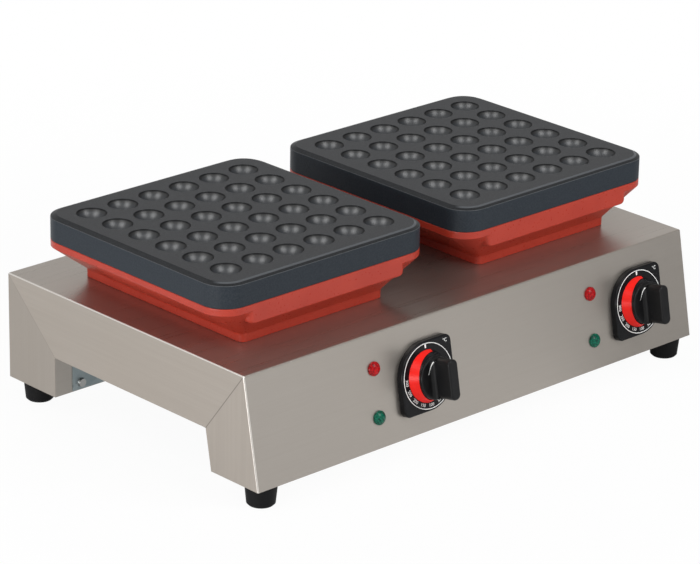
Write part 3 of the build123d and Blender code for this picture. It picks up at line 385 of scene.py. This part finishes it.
def red_enamel():
    """Glossy red enamel over cast metal, with faint orange peel."""
    g = material("red_enamel")
    peel = g.noise(g.place, scale=420.0)
    flow = g.noise(g.place, scale=38.0)
    colour = g.blend(g.span(flow, 0.3, 0.7), rgb(156, 48, 34), rgb(163, 53, 38))
    rough = g.span(peel, 0.3, 0.7, 0.27, 0.33)
    bump = g.bump(peel, 0.00002, 0.3)
    return g.out(g.principled(Base_Color=colour, Roughness=rough, Normal=bump, IOR=1.38))


def moulded(name, colour, roughness, grain=1800.0, depth=0.00002, index=1.45, lighter=1.35):
    """Moulded plastic or rubber with a fine spark-eroded texture."""
    g = material(name)
    fine = g.noise(g.place, scale=grain, roughness=0.6)
    cloud = g.noise(g.place, scale=90.0)
    pale = tuple(min(1.0, c * lighter + 0.002) for c in colour[:3]) + (1.0,)
    mixed = g.calc("MULTIPLY_ADD", fine, 0.5, g.product(cloud, 0.5))
    tint = g.blend(g.span(mixed, 0.3, 0.7), colour, pale)
    rough = g.span(mixed, 0.25, 0.75, roughness * 0.85, roughness * 1.15)
    bump = g.bump(fine, depth, 0.4)
    return g.out(g.principled(Base_Color=tint, Roughness=rough, Normal=bump, IOR=index))


def lens(name, colour, deep):
    """Tinted lens with moulded facets behind a smooth face."""
    g = material(name)
    facets = g.cells(620.0)
    glow = g.noise(g.place, scale=160.0, detail=1.0)
    tint = g.blend(g.span(facets, 0.1, 0.8), colour, deep)
    tint = g.blend(g.span(glow, 0.4, 0.7, 0.0, 0.3), tint, colour)
    bump = g.bump(facets, 0.0002, 0.25)
    return g.out(g.principled(Base_Color=tint, Roughness=0.16, Normal=bump, IOR=1.3))


def fibre():
    """Pressed mineral fibre."""
    g = material("mineral_fibre")
    strands = g.noise(g.stretch(250, 900, 900), detail=4.0, roughness=0.7)
    colour = g.blend(g.span(strands, 0.3, 0.7), rgb(196, 190, 176), rgb(236, 232, 222))
    bump = g.bump(strands, 0.0004, 0.7)
    return g.out(g.principled(Base_Color=colour, Roughness=0.95, Normal=bump))


steel = housing_steel()
zinc = galvanised()
plate_iron = cast_plate()
enamel = red_enamel()
screw_steel = plain_steel("plated_screw", rgb(176, 176, 174), 0.30, (700, 700, 2600))
bright_steel = plain_steel("bright_tray", rgb(214, 215, 216), 0.22, (12, 1500, 1500))
element_steel = plain_steel("heat_tinted_tube", rgb(120, 108, 96), 0.38, (700, 700, 700))
copper = plain_steel("copper_tube", rgb(190, 122, 84), 0.30, (900, 900, 900))
brass = plain_steel("brass", rgb(190, 158, 96), 0.28, (900, 900, 2400))
black_gloss = moulded("black_bezel_plastic", rgb(15, 15, 17), 0.22, index=1.24)
black_satin = moulded("black_knob_plastic", rgb(17, 17, 18), 0.32, grain=2400.0, index=1.26)
foot_rubber = moulded(
    "black_rubber", rgb(15, 15, 16), 0.6, grain=1200.0, depth=0.00006, index=1.2
)
gasket_rubber = moulded("gasket_rubber", rgb(34, 30, 29), 0.7, grain=900.0, depth=0.00006)
dial_red = moulded("red_dial_plastic", rgb(228, 30, 22), 0.30, index=1.25, lighter=1.06)
pale_plastic = moulded("pale_technical_plastic", rgb(216, 212, 200), 0.5, lighter=1.05)
case_plastic = moulded("thermostat_case_plastic", rgb(186, 180, 166), 0.5, lighter=1.08)
brown_wire = moulded("brown_insulation", rgb(112, 68, 40), 0.45)
black_wire = moulded("black_insulation", rgb(34, 34, 36), 0.45)
blue_wire = moulded("blue_insulation", rgb(44, 86, 168), 0.45, lighter=1.1)
white_ink = moulded("white_print", rgb(226, 226, 224), 0.5, grain=3000.0, lighter=1.05)
red_lens = lens("red_lens", rgb(186, 12, 18), rgb(92, 3, 7))
green_lens = lens("green_lens", rgb(8, 104, 80), rgb(2, 44, 36))
insulation_fibre = fibre()

# Material of each node, by the longest start of its name
DRESS = {
    "housing_shell": steel,
    "underside_cover": zinc,
    "element_clamp": zinc,
    "cover_": screw_steel,
    "foot_screws": screw_steel,
    "foot_nuts": screw_steel,
    "plate_screws": screw_steel,
    "body_screws": screw_steel,
    "clamp_screws": screw_steel,
    "thermostat_screws": screw_steel,
    "terminal_screws": screw_steel,
    "spindle": screw_steel,
    "earth_": brass,
    "foot_": foot_rubber,
    "body_gasket": gasket_rubber,
    "cast_body": enamel,
    "baking_plate": plate_iron,
    "heating_element": element_steel,
    "insulation": insulation_fibre,
    "reflector": bright_steel,
    "bezel": black_gloss,
    "dial_wedge": dial_red,
    "knob": black_satin,
    "thermostat": case_plastic,
    "sensor": copper,
    "live_wire": brown_wire,
    "load_wire": black_wire,
    "neutral_wire": blue_wire,
    "lamp_lens_red": red_lens,
    "lamp_lens_green": green_lens,
    "lamp_body": pale_plastic,
    "terminal_block": pale_plastic,
    "cable_gland": black_satin,
    "gland_locknut": black_satin,
}
for name, solid in nodes.items():
    start = max((k for k in DRESS if name.startswith(k)), key=len)
    solid.data.materials.clear()
    solid.data.materials.append(DRESS[start])


def show(name, bm, finish, smooth=True):
    """Turn a bmesh into a scene object."""
    bmesh.ops.recalc_face_normals(bm, faces=bm.faces)
    mesh = bpy.data.meshes.new(name)
    bm.to_mesh(mesh)
    bm.free()
    mesh.materials.append(finish)
    for polygon in mesh.polygons:
        polygon.use_smooth = smooth
    made = bpy.data.objects.new(name, mesh)
    scene.collection.objects.link(made)
    return made


def even_normals(piece):
    """Keep wide faces flat next to narrow roundings, and creases sharp."""
    piece.data.set_sharp_from_angle(angle=math.radians(SHARP_DEGREES))
    weighted = piece.modifiers.new("even_normals", "WEIGHTED_NORMAL")
    weighted.keep_sharp = True
    weighted.mode = "FACE_AREA_WITH_ANGLE"


def skin(bm, rings, closed=True):
    """Quads between rings of equal length; returns the rings of vertices."""
    made = [[bm.verts.new(point) for point in ring] for ring in rings]
    for low, high in zip(made, made[1:]):
        count = len(low)
        for k in range(count if closed else count - 1):
            n = (k + 1) % count
            bm.faces.new((low[k], low[n], high[n], high[k]))
    return made


def loop(bm, points):
    """Closed line of edges through new vertices."""
    verts = [bm.verts.new(point) for point in points]
    return [bm.edges.new((a, b)) for a, b in zip(verts, verts[1:] + verts[:1])]


# Baking plate, in metres; an inset is taken from the plate's outline
PLATE_HALF = 0.135
PLATE_RADIUS = 0.027
PLATE_CORNER_STEPS = 14
PLATE_FOOT = ((0.0006, 0.0), (0.0002, 0.0002), (0.0, 0.0007))  # inset and height
SHOULDER_DROP = 0.0025
SHOULDER_INSET = 0.006
SHOULDER_ROUND = 0.0008
SHOULDER_RINGS = 5
TOP_ROUND = 0.0014
TOP_RINGS = 4
MOULDS_ALONG = 6
MOULD_PITCH = 0.03945
MOULD_SPHERE = 0.01573
MOULD_DEPTH = 0.011
MOULD_LIP = 0.0012
MOULD_SIDES = 40
LIP_RINGS = 5
BOWL_RINGS = 12


def rounded_ring(cx, cy, z, inset):
    """Points of the plate's outline, taken in by an inset, the corners in equal steps."""
    half, radius = PLATE_HALF - inset, PLATE_RADIUS - inset
    points = []
    for quarter in range(4):
        sx = 1 if quarter in (0, 3) else -1
        sy = 1 if quarter in (0, 1) else -1
        for k in range(PLATE_CORNER_STEPS + 1):
            angle = math.pi / 2 * (quarter + k / PLATE_CORNER_STEPS)
            x = sx * (half - radius) + radius * math.cos(angle)
            y = sy * (half - radius) + radius * math.sin(angle)
            points.append(Vector((cx + x, cy + y, z)))
    return points


def circle(cx, cy, z, radius):
    """Points of a level circle."""
    turns = [2 * math.pi * k / MOULD_SIDES for k in range(MOULD_SIDES)]
    return [Vector((cx + radius * math.cos(t), cy + radius * math.sin(t), z)) for t in turns]


def mould_profile():
    """Radius and height of the mould's surface, from its rim on the flat down to the centre."""
    centre = MOULD_SPHERE - MOULD_DEPTH
    reach = MOULD_SPHERE + MOULD_LIP
    rim = math.sqrt(reach**2 - (centre + MOULD_LIP) ** 2)
    turn = math.atan2(centre + MOULD_LIP, rim)
    profile = []
    for k in range(LIP_RINGS + 1):
        angle = math.pi / 2 + (math.pi / 2 - turn) * k / LIP_RINGS
        height = -MOULD_LIP + MOULD_LIP * math.sin(angle)
        profile.append((rim + MOULD_LIP * math.cos(angle), height))
    for k in range(1, BOWL_RINGS + 1):
        angle = -turn - (math.pi / 2 - turn) * k / BOWL_RINGS
        profile.append((MOULD_SPHERE * math.cos(angle), centre + MOULD_SPHERE * math.sin(angle)))
    return profile


def plate_edge(top, bottom):
    """Inset and height of the rings up the plate's wall, over its shoulder and onto its top."""
    slope = math.atan2(SHOULDER_DROP, SHOULDER_INSET)
    rings = [(inset, bottom + height) for inset, height in PLATE_FOOT]
    turn = math.pi / 2 - slope
    start = top - SHOULDER_DROP - SHOULDER_ROUND * math.tan(turn / 2)
    for k in range(SHOULDER_RINGS + 1):
        angle = turn * k / SHOULDER_RINGS
        inset = SHOULDER_ROUND * (1 - math.cos(angle))
        rings.append((inset, start + SHOULDER_ROUND * math.sin(angle)))
    stop = SHOULDER_INSET + TOP_ROUND * math.tan(slope / 2)
    for k in range(TOP_RINGS + 1):
        angle = slope * (1 - k / TOP_RINGS)
        height = top - TOP_ROUND * (1 - math.cos(angle))
        rings.append((stop - TOP_ROUND * math.sin(angle), height))
    return rings


def baking_plate(side):
    """Plate with bevelled shoulder and rounded lips on its moulds."""
    low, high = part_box(f"baking_plate_{side}")
    cx, cy, top = (low.x + high.x) / 2, (low.y + high.y) / 2, high.z
    bm = bmesh.new()
    rings = plate_edge(top, low.z)
    skin(bm, [rounded_ring(cx, cy, z, inset) for inset, z in rings])
    edges = loop(bm, rounded_ring(cx, cy, top, rings[-1][0]))
    profile = mould_profile()
    for i in range(MOULDS_ALONG):
        for j in range(MOULDS_ALONG):
            mx = cx + (i - (MOULDS_ALONG - 1) / 2) * MOULD_PITCH
            my = cy + (j - (MOULDS_ALONG - 1) / 2) * MOULD_PITCH
            edges += loop(bm, circle(mx, my, top, profile[0][0]))
            bowl = skin(bm, [circle(mx, my, top + z, r) for r, z in profile[:-1]])
            pole = bm.verts.new((mx, my, top + profile[-1][1]))
            last = bowl[-1]
            for a, b in zip(last, last[1:] + last[:1]):
                bm.faces.new((a, b, pole))
    bmesh.ops.triangle_fill(
        bm, use_beauty=True, use_dissolve=False, edges=edges, normal=(0, 0, 1)
    )
    piece = show(f"plate_{side}", bm, plate_iron)
    even_normals(piece)
    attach(piece, BODY)
    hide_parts(f"baking_plate_{side}")


# Cast body, in millimetres; heights are above the housing's top
BODY_CORNER = 6.5
PLINTH_HALF = (92.0, 116.5)
PLINTH_SHIFT = (2.0, 4.4)
PLINTH_FOOT = 0.1
PLINTH_TOP = 8.8
FOOT_ROUND = 0.35
FLARE_CURVE = 1.4
FLARE_BLEND = 0.0008
FLARE_ENDS = (8, 38)  # degrees from an end's middle: fully curved, straight
LIP_FOOT = 41.4
LIP_HALF = 135.0
LIP_CORNER = 27.0
LIP_STEP = 2.0
LIP_ROUND = 0.8
BODY_TOP = 48.4
APRON_FOOT = 28.1
APRON_HALF = 100.5
APRON_CORNER = 5.0
APRON_ROUND = 4.5
APRON_UNDER = 1.4
APRON_BLEND = 1.6
APRON_FADE = 3.0
# Heights of the rings, above the foot, the plinth's top, the apron's foot and the lip's foot
BODY_HEIGHTS = (
    (PLINTH_FOOT, (0.0, 0.05, 0.15, 0.35, 2.5, 4.5, 6.5, 7.4, 7.9)),
    (PLINTH_TOP, (-0.2, 0.0, 0.2, 0.5, 1.0, 1.8, 3.5, 6.0, 9.5, 13.0, 16.5)),
    (APRON_FOOT, (-1.0, -0.02, 0.0, 0.15, 0.4, 0.8, 1.4, 2.2, 3.2, 4.5, 6.0, 7.5, 9.0, 11.5)),
    (LIP_FOOT, (-0.6, 0.0, 0.3, 0.8, 1.4, 2.2, 3.6, 5.0, 6.2, 6.5, 6.8, 7.0)),
)
# Directions in a quarter turn, in degrees: start, step and count, close at the corners
TURN_STEPS = ((0, 3, 12), (36, 0.6, 22), (49.2, 0.12, 50), (55.2, 0.6, 8), (60, 3, 10))


def turn_angles():
    """Directions round the casting, the same in each quarter."""
    quarter = [start + step * k for start, step, count in TURN_STEPS for k in range(count)]
    half = quarter + [90.0] + [180 - a for a in reversed(quarter[1:])]
    return [math.radians(a) for a in half + [180 + a for a in half]]


def reach_of(angle, half_x, half_y, radius):
    """Distance from the middle of a rounded rectangle to its outline, along a direction."""
    c, s = abs(math.cos(angle)), abs(math.sin(angle))
    if c > 1e-9 and half_x / c * s <= half_y - radius:
        return half_x / c
    if s > 1e-9 and half_y / s * c <= half_x - radius:
        return half_y / s
    qx, qy = half_x - radius, half_y - radius
    b = c * qx + s * qy
    return b + math.sqrt(max(0.0, b * b - (qx * qx + qy * qy - radius * radius)))


def ease(value, start, stop):
    """Smooth step from 0 at the start to 1 at the stop."""
    share = min(1.0, max(0.0, (value - start) / (stop - start)))
    return share * share * (3 - 2 * share)


def joined(a, b, blend):
    """Larger of two reaches, with a fillet where they are alike."""
    if blend <= 0:
        return max(a, b)
    near = max(blend - abs(a - b), 0.0) / blend
    return max(a, b) + near * near * blend / 4


def rounding(radius, left):
    """Inset of a rounded edge where a part of its radius is left to its end."""
    return radius - math.sqrt(max(0.0, radius**2 - left**2))


def flare_share(z, angle):
    """How far the flare has opened at a height: fuller along the ends, straight elsewhere."""
    turn = math.degrees(math.atan2(abs(math.sin(angle)), abs(math.cos(angle))))
    end = 1 - ease(turn, *FLARE_ENDS)
    curve = 1 + (FLARE_CURVE - 1) * end
    rise = (z - PLINTH_TOP) / (LIP_FOOT + LIP_STEP * end - PLINTH_TOP)
    opened = min(1.0, (rise + math.sqrt(rise * rise + FLARE_BLEND)) / 2)
    return 1 - (1 - opened) ** curve


def body_reach(z, angle, trim):
    """Distance to the casting's outline at a height, without the aprons."""
    t = flare_share(z, angle)
    hx, hy = (half + (LIP_HALF - half) * t - trim for half in PLINTH_HALF)
    radius = BODY_CORNER + (LIP_CORNER - BODY_CORNER) * t
    ox, oy = (shift * (1 - t) for shift in PLINTH_SHIFT)
    sx = 1 if math.cos(angle) > 0 else -1
    sy = 1 if math.sin(angle) > 0 else -1
    return reach_of(angle, hx + sx * ox, hy + sy * oy, radius)


def apron_reach(z, angle, trim):
    """Distance to the aprons' outline at a height."""
    inset = rounding(APRON_UNDER, max(0.0, APRON_FOOT + APRON_UNDER - z))
    inset += trim if z > LIP_FOOT else 0
    half = APRON_HALF - rounding(APRON_ROUND, max(0.0, APRON_FOOT + APRON_ROUND - z))
    return reach_of(angle, half - inset, LIP_HALF - inset, APRON_CORNER)


def cast_body(side):
    """Red casting: plinth, sloping flare, lip and the aprons at front and rear."""
    low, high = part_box(f"baking_plate_{side}")
    cx, cy = (low.x + high.x) / 2, (low.y + high.y) / 2
    rings = []
    for z in (base + step for base, steps in BODY_HEIGHTS for step in steps):
        trim = 0.0
        if z < PLINTH_FOOT + FOOT_ROUND:
            trim = rounding(FOOT_ROUND, PLINTH_FOOT + FOOT_ROUND - z)
        if z > BODY_TOP - LIP_ROUND:
            trim = rounding(LIP_ROUND, z - BODY_TOP + LIP_ROUND)
        soft = APRON_BLEND * min(1.0, max(0.0, (LIP_FOOT - z) / APRON_FADE))
        ring = []
        for angle in turn_angles():
            r = body_reach(z, angle, trim)
            if z >= APRON_FOOT:
                r = joined(r, apron_reach(z, angle, trim), soft)
            x, y = cx + r * MM * math.cos(angle), cy + r * MM * math.sin(angle)
            ring.append(Vector((x, y, TOP_Z + z * MM)))
        rings.append(ring)
    bm = bmesh.new()
    made = skin(bm, rings)
    bm.faces.new(made[0])
    bm.faces.new(made[-1])
    piece = show(f"casting_{side}", bm, enamel)
    even_normals(piece)
    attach(piece, BODY)
    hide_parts(f"cast_body_{side}")


# Print on the dial plate, in metres; clock angles run clockwise from twelve o'clock
PRINT_LIFT = 0.00005
PRINT_HALF = 0.00004
RING_RADII = (0.0319, 0.0326)
RING_HEIGHT = 0.00012
RING_STEPS = 96
MARK_RADII = (0.0278, 0.0315)
MARK_HEIGHT = 0.0001
MARK_STEPS = 4
MARK_ANGLE = 1.8
DIAL_NUMBERS = ("50", "100", "150", "200", "250", "300")
NUMBER_RADIUS = 0.0287
NUMBER_SIZE = 0.0046
NUMBER_START = 158
NUMBER_STEP = 22.4
UNIT_PLACE = (0.0262, 0.0292)
UNIT_SIZE = 0.0052


def flat_ring(name, x, radii, height, start=0.0, stop=360.0, steps=RING_STEPS):
    """Thin raised ring or arc on a dial plate, between two clock angles."""
    bm = bmesh.new()
    inner, outer = radii
    whole = abs(stop - start) >= 360
    spots = [math.radians(start + (stop - start) * k / steps) for k in range(steps + (not whole))]
    rows = []
    for radius, up in ((inner, 0.0), (inner, height), (outer, height), (outer, 0.0)):
        row = []
        for t in spots:
            drop = CONTROL_DROP - radius * math.cos(t)
            row.append(panel_point(x + radius * math.sin(t), drop, BEZEL_HEIGHT + up))
        rows.append(row)
    made = skin(bm, rows, closed=whole)
    if not whole:
        for end in (0, -1):
            bm.faces.new([row[end] for row in made])
    return show(name, bm, white_ink, smooth=False)


def printed(name, words, x, right, up, size, turn):
    """Raised lettering on a dial plate, turned clockwise by an angle in degrees."""
    curve = bpy.data.curves.new(name, "FONT")
    curve.body = words
    curve.size = size
    curve.align_x = "CENTER"
    curve.align_y = "CENTER"
    curve.extrude = PRINT_HALF
    curve.resolution_u = 3
    text = bpy.data.objects.new(name, curve)
    scene.collection.objects.link(text)
    basis = Matrix((Vector(X_AXIS), PANEL_UP, PANEL_OUT)).transposed().to_4x4()
    basis.translation = panel_point(x + right, CONTROL_DROP - up, BEZEL_HEIGHT + PRINT_LIFT)
    text.matrix_world = basis @ Matrix.Rotation(math.radians(-turn), 4, "Z")
    bpy.context.view_layer.update()
    mesh = bpy.data.meshes.new_from_object(text)
    mesh.transform(text.matrix_world)
    bpy.data.objects.remove(text)
    mesh.materials.clear()
    mesh.materials.append(white_ink)
    made = bpy.data.objects.new(name, mesh)
    scene.collection.objects.link(made)
    return made


def dial_print(side, x):
    """White ring, mark, numbers and unit on the dial plate."""
    arc = (-MARK_ANGLE, MARK_ANGLE, MARK_STEPS)
    prints = [
        flat_ring(f"dial_ring_{side}", x, RING_RADII, RING_HEIGHT),
        flat_ring(f"dial_mark_{side}", x, MARK_RADII, MARK_HEIGHT, *arc),
    ]
    for k, words in enumerate(DIAL_NUMBERS):
        clock = NUMBER_START + NUMBER_STEP * k
        t = math.radians(clock)
        right, up = NUMBER_RADIUS * math.sin(t), NUMBER_RADIUS * math.cos(t)
        name = f"dial_number_{words}_{side}"
        prints.append(printed(name, words, x, right, up, NUMBER_SIZE, clock + 180))
    prints.append(printed(f"dial_unit_{side}", "°C", x, *UNIT_PLACE, UNIT_SIZE, 0))
    for piece in prints:
        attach(piece, BODY)


# Index line on the knob, in metres right and up from the spindle
LINE_START = Vector((-0.0064, 0.0175))
LINE_STOP = Vector((-0.0119, 0.0056))
LINE_HALF = 0.00036
LINE_LIFT = 0.00006
LINE_STEPS = 14
PAST_KNOB = 0.08


def knob_line(side, x):
    """White index line that lies on the knob's blend, thrown on it along the spindle."""
    solid = nodes[f"knob_{side}"]
    tree = BVHTree.FromPolygons(
        [v.co.copy() for v in solid.data.vertices], [p.vertices[:] for p in solid.data.polygons]
    )
    run = (LINE_STOP - LINE_START).normalized()
    half = Vector((-run.y, run.x)) * LINE_HALF
    bm = bmesh.new()
    rows = []
    for k in range(LINE_STEPS + 1):
        middle = LINE_START.lerp(LINE_STOP, k / LINE_STEPS)
        row = []
        for spot in (middle - half, middle, middle + half):
            origin = panel_point(x + spot.x, CONTROL_DROP - spot.y, PAST_KNOB)
            hit, normal, _, _ = tree.ray_cast(origin, -PANEL_OUT)
            row.append(bm.verts.new(hit + normal * LINE_LIFT))
        rows.append(row)
    for a, b in zip(rows, rows[1:]):
        for n in (0, 1):
            bm.faces.new((a[n], a[n + 1], b[n + 1], b[n]))
    piece = show(f"knob_line_{side}", bm, white_ink)
    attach(piece, KNOB_BODY[side])


for side in SIDES:
    baking_plate(side)
    cast_body(side)
    dial_x = box_centre(f"knob_{side}").x
    dial_print(side, dial_x)
    knob_line(side, dial_x)


# Studio: directions on the floor in which the backdrop dims for metal
REARWARD = (0.755, 0.65, 0)
FORWARD = (0.65, -0.755, 0)
FORWARD_SPAN = (0.2, 0.6)
WHITE = (1, 1, 1, 1)
FLOOR_HALF = 6.0


def seen_directly(g, path):
    """1 for rays from the camera, straight or through something clear."""
    return g.calc("MAXIMUM", path["Is Camera Ray"], path["Is Transmission Ray"])


def stage_material():
    """Pale floor that meets the white background and keeps a faint shadow."""
    g = material("pale_floor")
    tone = g.noise(g.place, scale=30.0)
    colour = g.blend(g.span(tone, 0.3, 0.7), (0.80, 0.80, 0.80, 1), (0.82, 0.82, 0.82, 1))
    path = g.node("ShaderNodeLightPath").outputs
    glossy = path["Is Glossy Ray"]
    clear = g.span(g.measure("LENGTH", g.place), 0.5, 1.1, 0.95, 1.0)
    away = g.vector("NORMALIZE", g.place)
    turned = g.span(g.dot(away, REARWARD), -0.06, 0.09, 0.0, 0.8)
    dim = g.product(turned, g.span(g.dot(away, FORWARD), *FORWARD_SPAN))
    share = g.calc("MAXIMUM", g.product(seen_directly(g, path), clear), g.product(glossy, 0.6))
    matte = g.node("ShaderNodeBsdfDiffuse", colour)
    white = g.node("ShaderNodeEmission", WHITE, g.inverse(g.product(dim, glossy)))
    mixed = g.node("ShaderNodeMixShader", share, matte.outputs[0], white.outputs[0])
    return g.out(mixed.outputs[0])


def studio_world():
    """White to the camera; to metal, white at the horizon, dimmer overhead and in front."""
    g = Graph(bpy.data.worlds.new("studio"), "ShaderNodeOutputWorld")
    path = g.node("ShaderNodeLightPath").outputs
    overhead = g.span(g.dot(g.way, Z_AXIS), 0.02, 0.32, 1.0, 0.70)
    turned = g.span(g.dot(g.way, REARWARD), 0.0, 0.12, 0.0, 0.5)
    dim = g.product(turned, g.span(g.dot(g.way, FORWARD), *FORWARD_SPAN))
    metal = g.product(overhead, g.inverse(dim))
    soft = g.blend(path["Is Glossy Ray"], 0.18, metal, "FLOAT")
    level = g.blend(seen_directly(g, path), soft, 1.0, "FLOAT")
    sky = g.node("ShaderNodeBackground", WHITE, level)
    return g.out(sky.outputs[0])


def lamp(name, place, aim, width, height, power, mirrored=True):
    """Rectangular soft lamp aimed at a point, which glossy surfaces may leave out."""
    data = bpy.data.lights.new(name, "AREA")
    data.shape = "RECTANGLE"
    data.size = width
    data.size_y = height
    data.energy = power
    made = bpy.data.objects.new(name, data)
    made.location = place
    made.rotation_mode = "QUATERNION"
    made.rotation_quaternion = (Vector(aim) - Vector(place)).to_track_quat("-Z", "Y")
    made.visible_glossy = mirrored
    scene.collection.objects.link(made)


bm = bmesh.new()
bmesh.ops.create_grid(bm, x_segments=2, y_segments=2, size=FLOOR_HALF)
floor = show("floor", bm, stage_material(), smooth=False)
scene.world = studio_world()
lamp("key", (-1.43, 0.05, 1.70), (0, 0, 0.2), 1.1, 1.1, 16)
lamp("front", (0.12, -1.43, 1.70), (0, 0, 0.2), 1.1, 1.1, 16)
lamp("left", (-1.9, -0.3, 0.22), (0, 0, 0.15), 1.1, 0.4, 20)
lamp("back", (0.7, 2.0, 0.9), (0, 0, 0.15), 1.2, 0.8, 20, mirrored=False)
lamp("fill", (0.9, -1.9, 0.8), (0, 0, 0.15), 0.7, 0.7, 24, mirrored=False)

# Camera solved from the photograph's perspective: its turns in degrees, its focal length in
# pixels, and its place from the corner where the housing's top, panel and left end meet
AZIMUTH, ELEVATION, ROLL = (math.radians(a) for a in (-43.68, 21.23, 1.175))
FOCAL_PIXELS = 3503.7
IMAGE_PIXELS = 700
SENSOR_MM = 36.0
EYE = (-1.9801, -2.2124, 1.2484)


def photo_camera():
    """Camera at the photograph's viewing angle."""
    level = math.cos(ELEVATION)
    back = Vector((math.sin(AZIMUTH) * level, -math.cos(AZIMUTH) * level, math.sin(ELEVATION)))
    right = Vector((math.cos(AZIMUTH), math.sin(AZIMUTH), 0))
    up = back.cross(right)
    tilted_right = right * math.cos(ROLL) + up * math.sin(ROLL)
    tilted_up = up * math.cos(ROLL) - right * math.sin(ROLL)
    pose = Matrix((tilted_right, tilted_up, back)).transposed().to_4x4()
    pose.translation = Vector((-HALF_LENGTH + EYE[0], FRONT_Y + EYE[1], TOP_Z + EYE[2]))
    data = bpy.data.cameras.new("camera")
    data.sensor_width = SENSOR_MM
    data.lens = FOCAL_PIXELS / IMAGE_PIXELS * SENSOR_MM
    data.clip_start = 0.1
    data.clip_end = 50.0
    made = bpy.data.objects.new("camera", data)
    made.matrix_world = pose
    scene.collection.objects.link(made)
    return made


scene.camera = photo_camera()
scene.view_settings.view_transform = "Standard"
